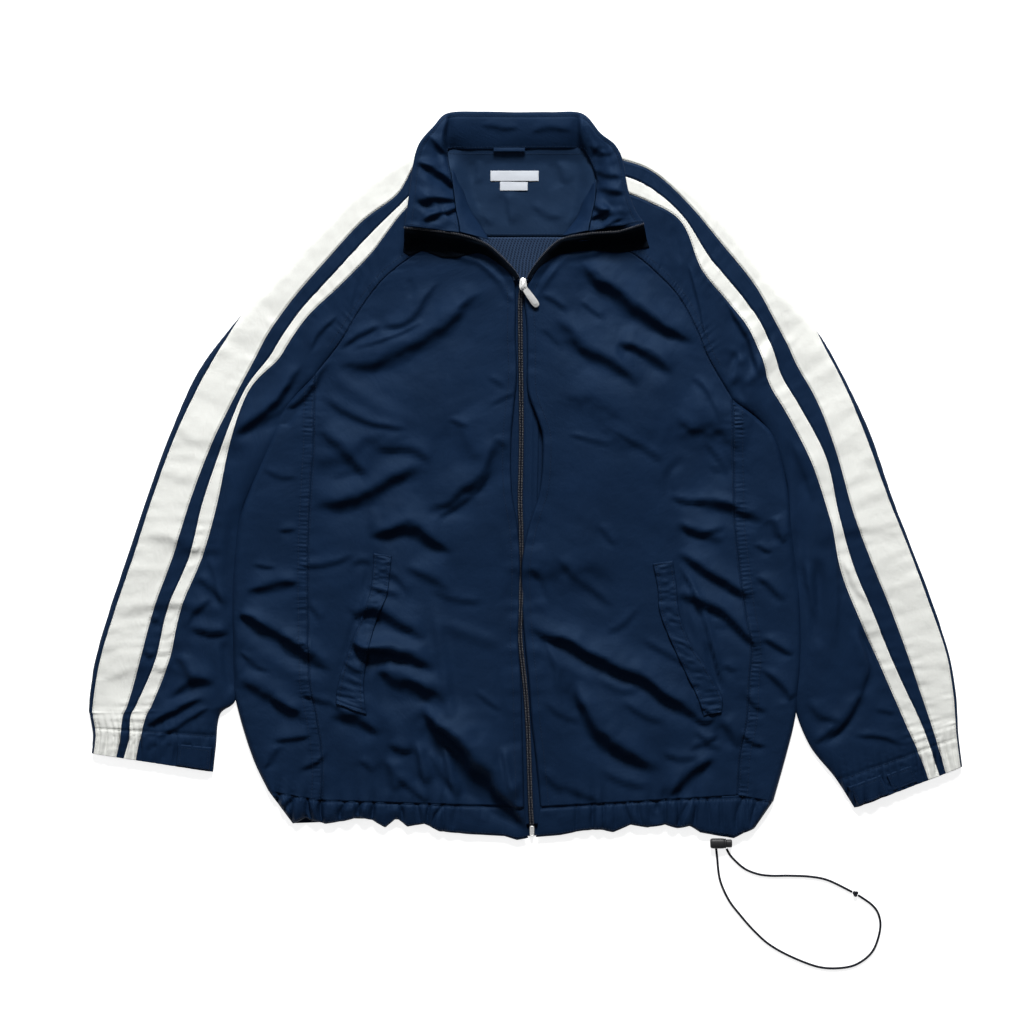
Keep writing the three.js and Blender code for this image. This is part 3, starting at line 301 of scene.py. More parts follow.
# Lesser creases, three points of the steep line and its reach in pixels of the photograph, and the height
# of the ridge above it in millimetres
CREASES = [
    [350, 350, 390, 340, 426, 323, 1.3, 3],
    [340, 349, 362, 336, 382, 327, 2.0, 5],
    [318, 398, 366, 422, 410, 431, 2.0, 6],
    [448, 420, 458, 424, 468, 428, 1.0, 3],
    [492, 440, 500, 444, 508, 448, 1.0, 3],
    [438, 519, 456, 508, 476, 496, 1.8, 4],
    [474, 498, 484, 484, 493, 469, 1.5, 4],
    [486, 377, 496, 383, 505, 389, 0.9, 3],
    [490, 407, 504, 400, 517, 394, 0.9, 3],
    [540, 296, 554, 303, 568, 311, 1.4, 4],
    [580, 301, 592, 311, 604, 319, 1.2, 4],
    [566, 435, 591, 441, 616, 445, 0.9, 3],
    [610, 429, 643, 450, 665, 463, 1.2, 4],
    [670, 495, 686, 504, 712, 501, 1.8, 4],
    [708, 501, 722, 504, 738, 509, 1.5, 4],
    [688, 377, 707, 394, 719, 426, 1.2, 4],
    [702, 441, 716, 458, 728, 471, 1.3, 3],
    [706, 465, 718, 470, 730, 472, 1.3, 3],
    [726, 303, 744, 338, 757, 381, 2.6, 5],
    [686, 264, 697, 304, 705, 346, 1.3, 3],
    [313, 353, 321, 334, 339, 317, 1.5, 4],
    [280, 532, 288, 531, 297, 530, 1.3, 4],
    [254, 564, 265, 567, 276, 567, 1.2, 4],
    [296, 566, 325, 566, 356, 554, 1.3, 4],
    [309, 604, 316, 613, 323, 621, 1.5, 4],
    [274, 741, 293, 738, 313, 735, 1.8, 5],
    [265, 769, 273, 756, 282, 744, 1.6, 5],
    [359, 759, 366, 766, 373, 773, 1.5, 4],
    [394, 774, 405, 784, 416, 793, 1.8, 4],
    [413, 791, 420, 797, 427, 803, 1.5, 4],
    [475, 690, 488, 701, 502, 711, 1.2, 3],
    [349, 606, 356, 615, 361, 623, 1.2, 3],
    [366, 586, 382, 592, 402, 598, 1.6, 4],
    [554, 556, 580, 585, 616, 608, 1.7, 6],
    [596, 526, 606, 536, 616, 546, 1.2, 4],
    [606, 633, 622, 626, 641, 607, 1.2, 4],
    [676, 521, 696, 535, 728, 526, 1.7, 4],
    [706, 621, 718, 627, 731, 627, 1.2, 3],
    [721, 664, 728, 668, 736, 671, 1.4, 4],
    [754, 544, 762, 549, 771, 553, 1.4, 4],
    [754, 576, 768, 588, 783, 603, 2.0, 5],
    [761, 636, 776, 646, 792, 656, 2.2, 5],
    [761, 666, 779, 688, 787, 702, 2.2, 6],
    [688, 752, 704, 744, 722, 750, 1.4, 4],
    [560, 783, 580, 795, 600, 803, 1.4, 5],
    [188, 627, 210, 634, 232, 633, 2.8, 5],
    [195, 577, 212, 590, 226, 606, 2.2, 6],
    [172, 702, 194, 683, 217, 682, 3.2, 7],
    [146, 727, 175, 713, 207, 697, 3.2, 6],
    [156, 739, 188, 722, 212, 706, 2.0, 5],
    [852, 734, 878, 737, 902, 746, 1.3, 4],
    [874, 709, 884, 711, 894, 714, 1.0, 4],
    [812, 742, 824, 735, 836, 722, 1.6, 4],
    [330, 362, 300, 400, 258, 428, -3.0, 7],
    [455, 760, 466, 776, 484, 800, 1.8, 5],
    [300, 770, 316, 764, 330, 752, 1.4, 4],
    [330, 480, 352, 472, 372, 470, 1.0, 5],
    [560, 350, 552, 338, 540, 330, -0.8, 4],
    [420, 690, 428, 700, 440, 704, 1.2, 4],
    [545, 700, 560, 716, 580, 724, 1.2, 5],
    [620, 700, 640, 716, 668, 722, 1.3, 5],
    [600, 770, 622, 784, 650, 786, 1.5, 5],
    [690, 690, 700, 706, 716, 716, 1.3, 4],
    [240, 650, 252, 664, 270, 672, 1.4, 5],
    [676, 560, 700, 612, 723, 694, 2.8, 3],
    [176, 656, 184, 668, 194, 686, 2.2, 6],
    [188, 630, 200, 612, 214, 600, 1.8, 6],
    [205, 556, 214, 580, 224, 612, 1.6, 6],
    [239, 617, 252, 620, 270, 629, 2.4, 5],
    [278, 635, 296, 644, 316, 658, 2.6, 6],
    [193, 530, 199, 533, 206, 531, 0.9, 2],
    [190, 548, 197, 550, 203, 547, 0.8, 2],
    [186, 566, 192, 568, 198, 566, 0.7, 2],
    [164, 618, 170, 621, 176, 618, 1.0, 2],
    [160, 634, 167, 638, 174, 634, 1.1, 2],
    [157, 652, 164, 655, 172, 653, 1.1, 2],
    [154, 668, 161, 671, 168, 668, 0.9, 2],
    [148, 616, 156, 622, 162, 620, 2.0, 4],
    [144, 650, 150, 656, 158, 654, 2.0, 4],
    [822, 742, 848, 720, 863, 690, 3.6, 6],
    [861, 702, 868, 664, 856, 622, 3.0, 6],
    [800, 560, 806, 590, 816, 640, 1.6, 6],
    [806, 700, 820, 716, 842, 722, 1.8, 6],
    [840, 560, 850, 584, 866, 604, 1.4, 6],
    [790, 440, 800, 470, 812, 500, 1.6, 7],
    [352, 566, 362, 562, 372, 566, 1.2, 4],
    [430, 590, 450, 600, 486, 604, 1.4, 6],
    [386, 572, 398, 580, 408, 596, 1.6, 5],
    [446, 730, 462, 752, 470, 784, 2.4, 6],
    [426, 748, 436, 770, 452, 792, 2.0, 5],
    [388, 742, 400, 750, 416, 752, 2.0, 6],
    [330, 700, 344, 712, 366, 716, 1.8, 5],
    [300, 690, 316, 700, 334, 704, 1.6, 5],
    [268, 700, 284, 706, 300, 716, 1.8, 6],
    [540, 636, 552, 660, 556, 690, 1.6, 5],
    [596, 676, 616, 690, 640, 694, 1.4, 6],
    [690, 716, 704, 722, 716, 718, 1.8, 4],
    [694, 730, 706, 740, 718, 734, 1.8, 4],
    [660, 752, 680, 760, 700, 756, 1.6, 5],
    [742, 690, 752, 704, 766, 712, 1.6, 5],
    [738, 730, 750, 742, 766, 744, 1.6, 5],
    [540, 770, 552, 784, 566, 790, 1.5, 5],
    [352, 640, 362, 648, 376, 646, 1.6, 4],
    [344, 662, 354, 672, 370, 672, 1.4, 4],
    [528, 566, 540, 580, 548, 604, 1.2, 4],
    [640, 640, 660, 652, 690, 668, 1.4, 4],
    [300, 640, 312, 650, 326, 664, 1.6, 4],
    [262, 470, 280, 480, 300, 478, 1.0, 5],
]

# Creases of the collar and the yoke the same way
COLLAR_CREASES = [
    [416, 168, 441, 180, 464, 195, 4.6, 6],
    [417, 207, 440, 203, 464, 205, 3.4, 6],
    [424, 226, 434, 221, 446, 215, 3.2, 4],
    [446, 219, 453, 214, 463, 210, 3.2, 4],
    [428, 140, 438, 152, 450, 160, 2.4, 6],
    [460, 196, 446, 150, 449, 114, 3.2, 4],
    [578, 114, 581, 146, 600, 190, 3.2, 4],
    [583, 198, 595, 212, 611, 220, 3.6, 5],
    [588, 223, 600, 218, 611, 213, 3.4, 5],
    [603, 232, 612, 226, 622, 222, 1.6, 4],
    [592, 172, 606, 180, 622, 182, 1.8, 5],
    [596, 190, 610, 196, 624, 198, 1.8, 5],
    [586, 148, 600, 158, 612, 160, 1.4, 5],
    [480, 128, 500, 132, 520, 129, 0.9, 5],
    [530, 136, 550, 132, 572, 134, 0.9, 5],
]
YOKE_CREASES = [
    [474, 161, 476, 172, 474, 184, 1.0, 5],
    [504, 193, 507, 208, 510, 226, 1.2, 6],
    [556, 161, 560, 174, 566, 186, 1.2, 6],
    [530, 205, 545, 215, 562, 222, 0.9, 6],
    [470, 205, 480, 218, 494, 228, 0.9, 6],
]

# Troughs and pressed ridges the same way: height of the crest, a trough where below zero
TROUGHS = [
    [410, 279, 411, 290, 413, 300, -0.9, 4],
    [447, 352, 447, 420, 447, 492, 0.35, 2],
    [686, 459, 668, 475, 671, 498, -1.6, 4],
    [643, 378, 655, 430, 679, 512, 1.2, 9],
    [737, 353, 736, 380, 743, 404, -2.4, 5],
    [362, 274, 355, 304, 350, 331, -1.0, 2.5],
    [673, 224, 676, 244, 681, 266, -1.0, 4],
    [286, 404, 289, 414, 285, 428, -2.2, 5],
    [497, 668, 499, 695, 502, 722, -1.0, 3],
    [437, 620, 462, 630, 508, 646, 1.6, 6],
    [560, 669, 563, 688, 566, 708, -0.9, 3],
    [655, 813, 661, 799, 668, 785, -1.6, 4],
    [816, 556, 817, 600, 812, 646, -1.8, 6],
    [833, 512, 832, 580, 832, 650, 0.6, 3],
    [856, 624, 867, 662, 858, 700, -2.2, 5],
    [860, 694, 845, 722, 821, 742, -2.2, 5],
    [205, 526, 214, 566, 222, 604, -1.8, 8],
    [174, 636, 172, 676, 170, 714, -1.8, 7],
    [806, 462, 806, 512, 799, 562, -2.0, 7],
    [232, 626, 275, 661, 338, 692, 1.6, 8],
    [338, 692, 386, 716, 421, 786, 1.6, 8],
    [330, 370, 362, 396, 424, 427, 1.4, 7],
    [501, 450, 478, 482, 452, 500, 1.2, 6],
    [527, 643, 570, 668, 598, 682, 1.2, 6],
    [419, 732, 430, 720, 444, 722, 1.5, 5],
    [500, 524, 507, 560, 504, 600, 0.8, 6],
    [240, 500, 231, 560, 229, 620, -2.5, 7],
    [229, 620, 231, 660, 234, 697, -2.5, 6],
    [797, 470, 797, 540, 799, 600, -2.5, 6],
    [371, 556, 364, 594, 333, 694, -1.6, 3],
    [704, 640, 713, 668, 721, 694, -3.2, 4],
    [681, 575, 684, 612, 696, 650, -2.0, 4],
    [434, 604, 443, 660, 453, 730, 3.4, 6],
    [833, 512, 835, 580, 834, 650, 1.5, 3],
    [817, 556, 819, 600, 818, 650, -2.4, 6],
    [224, 640, 228, 660, 232, 694, -3.0, 5],
]

# Broad swells of the upper cloth
SWELLS = [
    [95, 60, 90, 110, 3.5],
    [-95, 40, 100, 120, 3],
    [110, -240, 90, 70, 3],
    [-60, -250, 80, 80, 3],
    [-330, -60, 40, 160, 1.5],
    [345, -80, 45, 160, 1.5],
]

# Pocket welts, a row per section from the top: the two long sides
WELT_COLUMNS = ["openX", "openY", "stitchX", "stitchY"]
WELT_ROWS = {
    "left": table(WELT_COLUMNS, [
        [-159, -81, -140, -84], [-160, -101, -142, -103], [-163, -123, -145, -126],
        [-172, -149, -156, -152], [-183, -176, -164, -183], [-192, -202, -169, -215],
        [-198, -228, -168, -236], [-198, -239, -166, -250],
    ]),
    "right": table(WELT_COLUMNS, [
        [154, -89, 133, -92], [158, -115, 138, -117], [161, -143, 140, -142],
        [173, -176, 150, -169], [190, -202, 165, -202], [205, -230, 180, -233], [205, -248, 186, -251],
    ]),
}

# Zip line from the open corner of the collar to the hem, for each half of the chain
ZIP_ROWS = {
    "left": table(["x", "y", "z"], [
        [-126, 256.5, 29], [-100, 254, 27.4], [-84, 252, 26.6], [-63, 248.5, 25], [-40.4, 240.2, 21],
        [-24.7, 227.5, 17], [-12, 213.9, 12.5], [-6, 203, 7.6], [-6.7, 188, 5.8], [-7.3, 174, 5.8],
        [-6.2, 79, 5.8], [-6.2, 27, 5.8], [-7.3, -26, 5.8], [-6.2, -62, 5.8], [-6.2, -125, 5.8],
        [-7.3, -169, 5.8], [-2, -222, 5.8], [1.1, -269, 5.8], [3.5, -342, 5.8], [5, -366.6, 5.8],
    ]),
    "right": table(["x", "y", "z"], [
        [122.5, 260.5, 29], [98, 253, 28.4], [82, 251.8, 27.4], [64, 250.5, 25], [38, 245.8, 21],
        [22, 233.8, 17], [7.5, 215.7, 12.5], [0.8, 203, 7.6], [-3.3, 188, 5.8], [-4, 174, 5.8],
        [-2.9, 79, 5.8], [-2.9, 27, 5.8], [-4, -26, 5.8], [-2.9, -62, 5.8], [-2.9, -125, 5.8],
        [-4, -169, 5.8], [1.3, -222, 5.8], [4.4, -269, 5.8], [6.8, -342, 5.8], [8.3, -366.6, 5.8],
    ]),
}

# Slider and its pull
SLIDER_PLACE = (-2.6, 199.5, 10.3)
SLIDER_LENGTH = 13.5
SLIDER_WIDTH = 9
SLIDER_HEIGHT = 3
PULL_HINGE = (-2.4, 197, 15.1)
PULL_RUN = (16, -22)
PULL_DROP = math.radians(7)
PULL_LENGTH = 28
PULL_WIDTH = 8
PULL_THICKNESS = 1.4

# Lock and cord at the hem
LOCK_PLACE = (205, -385.7, 4.6)
LOCK_SIZE = (23, 10.6, 8.6)
KNOT_PLACE = (346, -438.5, 3.4)
KNOT_RADIUS = 3.2
CORD_HEIGHT = CORD_DIAMETER / 2 + 0.05
CORD_ROUTES = {
    "a": [
        (200, -391.3), (201, -400), (204, -424), (213, -445), (225, -461), (240, -478), (257, -493),
        (281, -506), (309, -516), (334, -516.5), (351, -511), (365, -498), (372, -477), (371, -462),
        (364, -451), (349.1, -440.4),
    ],
    "b": [
        (211, -391.8), (216, -400), (229, -412), (243, -418), (257, -420), (277, -420), (299, -421),
        (318, -425), (342.7, -437),
    ],
}


# Numbers

def mix(a, b, share):
    return a + (b - a) * share


def ease(low, high, value):
    share = np.clip((value - low) / (high - low), 0, 1)
    return share * share * (3 - 2 * share)


def along(rows, name, row, first=0, last=None):
    """Value of a column at fractional rows, on a smooth curve through the rows first to last."""
    values = rows[name]
    last = len(values) - 1 if last is None else last
    row = np.asarray(row, float)
    base = np.clip(np.floor(row), first, last - 1).astype(int)
    share = row - base
    p0, p1, p2, p3 = (values[np.clip(base + step, first, last)] for step in (-1, 0, 1, 2))
    curve = 2 * p1 + (p2 - p0) * share + (2 * p0 - 5 * p1 + 4 * p2 - p3) * share**2
    return 0.5 * (curve + (3 * p1 - p0 - 3 * p2 + p3) * share**3)


def nearest(line, x, y):
    """Distance from a broken line, share of the way along it and side of it, for arrays of places."""
    best = np.full(x.shape, np.inf)
    share = np.zeros(x.shape)
    side = np.ones(x.shape)
    count = len(line) - 1
    for index in range(count):
        (ax, ay), (bx, by) = line[index], line[index + 1]
        dx, dy = bx - ax, by - ay
        part = np.clip(((x - ax) * dx + (y - ay) * dy) / (dx * dx + dy * dy), 0, 1)
        distance = np.hypot(x - ax - dx * part, y - ay - dy * part)
        closer = distance < best
        best = np.where(closer, distance, best)
        share = np.where(closer, (index + part) / count, share)
        side = np.where(closer, np.sign(dx * (y - ay) - dy * (x - ax)), side)
    return best, share, side


NOISE_SIZE = 64
NOISE = np.random.default_rng(11).random((NOISE_SIZE, NOISE_SIZE)) * 2 - 1


def noise(x, y, seed=0):
    """Smooth lumps between -1 and 1, about one a unit."""
    x = np.asarray(x, float) + 17.3 * seed
    y = np.asarray(y, float) + 31.7 * seed
    column, row = np.floor(x).astype(int), np.floor(y).astype(int)
    across, down = x - column, y - row
    across = across * across * (3 - 2 * across)
    down = down * down * (3 - 2 * down)
    pick = lambda r, c: NOISE[r % NOISE_SIZE, c % NOISE_SIZE]
    top = mix(pick(row, column), pick(row, column + 1), across)
    foot = mix(pick(row + 1, column), pick(row + 1, column + 1), across)
    return mix(top, foot, down)


def turned(x, y, angle):
    """Places in axes turned by an angle in degrees."""
    turn = math.radians(angle)
    return x * math.cos(turn) + y * math.sin(turn), y * math.cos(turn) - x * math.sin(turn)


# The upper cloth

LINE_STEPS = 8


def on_plan(pixels):
    """Places in millimetres of points given in pixels of the photograph."""
    places = []
    for across, down in zip(pixels[0:6:2], pixels[1:6:2]):
        places += [(across - PLAN_ACROSS) * PIXEL_SIZE, (PLAN_DOWN - down) * PIXEL_SIZE]
    return places


def crease_line(values):
    points = table(["x", "y"], [values[0:2], values[2:4], values[4:6]])
    rows = np.linspace(0, 2, LINE_STEPS + 1)
    return list(zip(along(points, "x", rows), along(points, "y", rows)))


FOLD_LINES = [(crease_line(values), values[6], values[7]) for values in FOLDS]
COLLAR_LINES = [(crease_line(on_plan(values)), values[6], values[7] * PIXEL_SIZE) for values in COLLAR_CREASES]
YOKE_LINES = [(crease_line(on_plan(values)), values[6], values[7] * PIXEL_SIZE) for values in YOKE_CREASES]
CREASE_LINES = [(crease_line(on_plan(values)), values[6], values[7] * PIXEL_SIZE) for values in CREASES]
TROUGH_LINES = [(crease_line(on_plan(values)), values[6], values[7] * PIXEL_SIZE) for values in TROUGHS]
NECK_POINTS = list(zip(NECK_LINE["x"], NECK_LINE["y"]))


def near_box(line, x, y, margin):
    """Which places lie in the box round a line."""
    xs, ys = [p[0] for p in line], [p[1] for p in line]
    inside = (x > min(xs) - margin) & (x < max(xs) + margin)
    return inside & (y > min(ys) - margin) & (y < max(ys) + margin)


def fold_relief(line, height, reach, x, y):
    """A ridge on the left of a line and a shallower trough on its right, fading at both ends."""
    distance, share, side = nearest(line, x, y)
    waver = 0.35 * reach * noise(x / 26, y / 26, 51) + 0.12 * reach * noise(x / 9, y / 9, 52)
    across = (side * distance + waver) / (reach * (0.5 + 0.55 * np.sin(np.pi * share)))
    fade = ease(0, 0.3, share) * ease(0, 0.3, 1 - share)
    depth = np.where(across > 0, 1, 0.6)
    return 1.5 * height * fade * depth * np.tanh(2.3 * across) * np.exp(-(across**2) / 3)


def crease_relief(line, height, reach, x, y):
    """A soft ridge along a line, with the cloth a little lower on both sides."""
    distance, share, _ = nearest(line, x, y)
    across = distance / reach
    fade = ease(0, 0.3, share) * ease(0, 0.3, 1 - share)
    return height * fade * (1 - 0.5 * across**2) * np.exp(-across**2 / 2)


def cloth_height(x, y):
    """Height of the upper cloth over the floor."""
    height = np.full(x.shape, float(QUIET_HEIGHT))
    for middle_x, middle_y, radius_x, radius_y, swell in SWELLS:
        square = ((x - middle_x) / radius_x) ** 2 + ((y - middle_y) / radius_y) ** 2
        height += swell * np.exp(-square)
    for lines, relief in (
        (FOLD_LINES, fold_relief), (CREASE_LINES, fold_relief), (TROUGH_LINES, crease_relief),
    ):
        for line, size, reach in lines:
            inside = near_box(line, x, y, 4 * reach)
            if inside.any():
                height[inside] += relief(line, size, reach, x[inside], y[inside])
    height += small_wrinkles(x, y) + hem_puckers(x, y)
    height = np.maximum(height, LEAST_HEIGHT)
    distance, share, _ = nearest(NECK_POINTS, x, y)
    rim = np.exp(-(((distance - 18) / 3.4) ** 2)) * (1 - ease(250, 262, y)) * ease(6, 16, np.abs(x + 3))
    height = height + rim * (1.5 + 1.3 * noise(x / 13, y / 13, 34))
    place = share * (len(NECK_POINTS) - 1)
    edge = np.interp(place, np.arange(len(NECK_POINTS)), NECK_LINE["z"])
    return mix(np.maximum(edge, 6.8), height, ease(0, NECK_REACH, distance))


def small_wrinkles(x, y):
    """Uneven lumps and short soft wrinkles, drawn out at a slant on each half."""
    slant = np.where(x > 0, -28, 22)
    turn = np.radians(slant)
    across = x * np.cos(turn) + y * np.sin(turn)
    up = y * np.cos(turn) - x * np.sin(turn)
    lumps = 0.55 * noise(across / 70, up / 30, 1) + 0.3 * noise(across / 30, up / 14, 2)
    return lumps + 0.12 * noise(across / 14, up / 7, 3) + 0.10 * noise(across / 7, up / 6, 4)


def hem_puckers(x, y):
    """Short folds that run up from the gathered hem, and shallow ones beside the zip."""
    up = np.maximum(y + 340, 0)
    pull = ease(25, 90, np.abs(x)) * (0.7 + 0.5 * noise(x / 45, 0 * x, 15))
    folds = 1 - 2 * (1 - np.abs(np.sin(x / 5.2 + 1.1 * noise(x / 22, up / 40, 16)))) ** 1.6
    at_hem = pull * folds * (1.8 * np.exp(-up / 10) + 1.1 * np.exp(-up / 28)) * (0.8 + 0.7 * noise(x / 24, 0 * x + 3, 20))
    beside = np.exp(-(((np.abs(x) - 12) / 9) ** 2)) * ease(-340, -60, -np.abs(y + 180) - 60)
    return at_hem + 1.3 * beside * noise(x / 30, y / 8, 17)


def rounded(distance, reach):
    """Roundness of the cloth at a fold edge: 0 at the edge, 1 past its reach."""
    share = np.clip(distance / reach, 0, 1)
    return np.sqrt(np.maximum(0, 1 - (1 - share) ** 2))


def tube_points(outer, inner, share, closed, reach_outer, reach_inner, bow=0.0):
    """Points of a folded tube. A share runs from the outer fold (0) to the inner end (1 above, -1 below)."""
    below = share < 0
    share = np.abs(share)
    dx, dy = inner[0] - outer[0], inner[1] - outer[1]
    width = np.hypot(dx, dy)
    run = share * width
    side = np.where(below, 0, bow * np.sin(np.pi * share))
    x = outer[0] + dx * share + side
    y = outer[1] + dy * share
    from_inner = width - run
    fit = np.minimum(1, width / (reach_outer + reach_inner * closed))
    low_reach = FOLD_RADIUS * 1.2 * fit
    round_low = rounded(run, low_reach) * mix(1, rounded(from_inner, low_reach), closed)
    round_top = rounded(run, reach_outer * fit) * mix(1, rounded(from_inner, reach_inner * fit), closed)
    top = FOLD_RADIUS + (cloth_height(x, y) - FOLD_RADIUS) * round_top
    floor = FOLD_RADIUS - (FOLD_RADIUS - 0.05) * round_low
    return np.stack([x, y, np.where(below, floor, top)], -1)


# Meshes

def grid_faces(rows, columns, start=0):
    index = start + np.arange(rows * columns).reshape(rows, columns)
    corners = (index[:-1, :-1], index[:-1, 1:], index[1:, 1:], index[1:, :-1])
    return np.stack(corners, -1).reshape(-1, 4)


def grid_normals(grid):
    normal = np.cross(np.gradient(grid, axis=0), np.gradient(grid, axis=1))
    length = np.linalg.norm(normal, axis=-1, keepdims=True)
    return normal / np.maximum(length, 1e-9)


def mesh_piece(name, points, faces, material, uv=None):
    """A smooth mesh from points in millimetres, with a map of the cloth in millimetres."""
    mesh = bpy.data.meshes.new(name)
    mesh.from_pydata((np.asarray(points, float) * MM).tolist(), [], np.asarray(faces).tolist())
    mesh.polygons.foreach_set("use_smooth", [True] * len(mesh.polygons))
    if uv is not None:
        layer = mesh.uv_layers.new(name="cloth")
        corners = np.zeros(len(mesh.loops), int)
        mesh.loops.foreach_get("vertex_index", corners)
        layer.data.foreach_set("uv", np.asarray(uv, np.float32)[corners].ravel())
    mesh.materials.append(material)
    mesh.update()
    piece = bpy.data.objects.new(name, mesh)
    bpy.context.scene.collection.objects.link(piece)
    return piece


def cloth_map(grid):
    """Distance across and along the cloth for each point of a grid."""
    step_across = np.linalg.norm(np.diff(grid, axis=1), axis=-1)
    step_along = np.linalg.norm(np.diff(grid, axis=0), axis=-1)
    across = np.concatenate([np.zeros((len(grid), 1)), np.cumsum(step_across, axis=1)], axis=1)
    down = np.concatenate([np.zeros((1, grid.shape[1])), np.cumsum(step_along, axis=0)], axis=0)
    return np.stack([across, down], -1)


def shell(name, grid, material, facing=1, thickness=CLOTH_THICKNESS):
    """Closed thin wall under a grid of points. Most of its outer side looks up, or down if facing is -1."""
    rows, columns = grid.shape[:2]
    normals = grid_normals(grid)
    if np.sign(np.median(normals[..., 2])) != facing:
        normals = -normals
        grid, normals = grid[:, ::-1], normals[:, ::-1]
    inner = grid - normals * thickness
    count = rows * columns
    outer_faces = grid_faces(rows, columns)
    inner_faces = grid_faces(rows, columns, count)[:, ::-1]
    index = np.arange(count).reshape(rows, columns)
    ring = np.concatenate([index[0, :-1], index[:-1, -1], index[-1, :0:-1], index[:0:-1, 0]])
    after = np.roll(ring, -1)
    rim = np.stack([ring, ring + count, after + count, after], -1)
    faces = np.concatenate([outer_faces, inner_faces, rim])
    if facing_of(grid, outer_faces) != facing:
        faces = faces[:, ::-1]
    points = np.concatenate([grid.reshape(-1, 3), inner.reshape(-1, 3)])
    uv = np.tile(cloth_map(grid).reshape(-1, 2), (2, 1))
    return mesh_piece(name, points, faces, material, uv)


def facing_of(grid, faces):
    """Whether most faces of a grid look up (1) or down (-1)."""
    points = grid.reshape(-1, 3)
    a, b, c = points[faces[:, 0]], points[faces[:, 1]], points[faces[:, 2]]
    return np.sign(np.median(np.cross(b - a, c - b)[:, 2]))


def graded(length, step=MESH_STEP):
    """Shares from 0 to 1 an even step apart, closer near both ends where the seams are."""
    near = np.array([0, 0.5, 1.1, 1.8, 2.7, 3.8, 5.2, 7])
    middle = np.linspace(7, length - 7, max(2, round((length - 14) / step) + 1))[1:-1]
    return np.concatenate([near, middle, length - near[::-1]]) / length


def even(low, high, length, step=MESH_STEP):
    return np.linspace(low, high, max(2, round(length / step) + 1))


# Stitches

def line_at(grid, distance, wanted):
    """The line over a grid that keeps a wanted distance from one side, a point for each row."""
    points = np.empty((len(grid), 3))
    for row in range(len(grid)):
        order = np.argsort(distance[row])
        for axis in range(3):
            points[row, axis] = np.interp(wanted, distance[row][order], grid[row, order, axis])
    return points


def stitches(name, lines, thread, pitch=STITCH_PITCH, length=STITCH_LENGTH):
    """Separate stitches along lines on the cloth, as one piece."""
    starts, ends = [], []
    for line in lines:
        run = np.concatenate([[0], np.cumsum(np.linalg.norm(np.diff(line, axis=0), axis=1))])
        places = np.arange(pitch * 0.3, run[-1] - length, pitch)
        for store, shift in ((starts, 0), (ends, length)):
            store.append(np.stack([np.interp(places + shift, run, line[:, axis]) for axis in range(3)], -1))
    start, end = np.concatenate(starts), np.concatenate(ends)
    ahead = end - start
    ahead /= np.maximum(np.linalg.norm(ahead, axis=1, keepdims=True), 1e-6)
    side = np.cross([0.0, 0.0, 1.0], ahead)
    side /= np.maximum(np.linalg.norm(side, axis=1, keepdims=True), 1e-6)
    up = np.cross(ahead, side)
    ring = [side * THREAD_RADIUS, up * THREAD_RADIUS, -side * THREAD_RADIUS, -up * THREAD_RADIUS]
    lift = up * 0.18
    near, far = mix(start, end, 0.16) + lift, mix(start, end, 0.84) + lift
    points = np.stack([start - lift, *(near + step for step in ring), *(far + step for step in ring), end - lift], 1)
    triangles = []
    for corner in range(4):
        after = (corner + 1) % 4
        triangles += [
            (1 + after, 1 + corner, 0), (5 + corner, 5 + after, 9),
            (1 + corner, 1 + after, 5 + after), (1 + corner, 5 + after, 5 + corner),
        ]
    faces = (np.array(triangles)[None] + 10 * np.arange(len(start))[:, None, None]).reshape(-1, 3)
    piece = mesh_piece(name, points.reshape(-1, 3), faces, thread)
    return finish_piece(piece)


# Materials

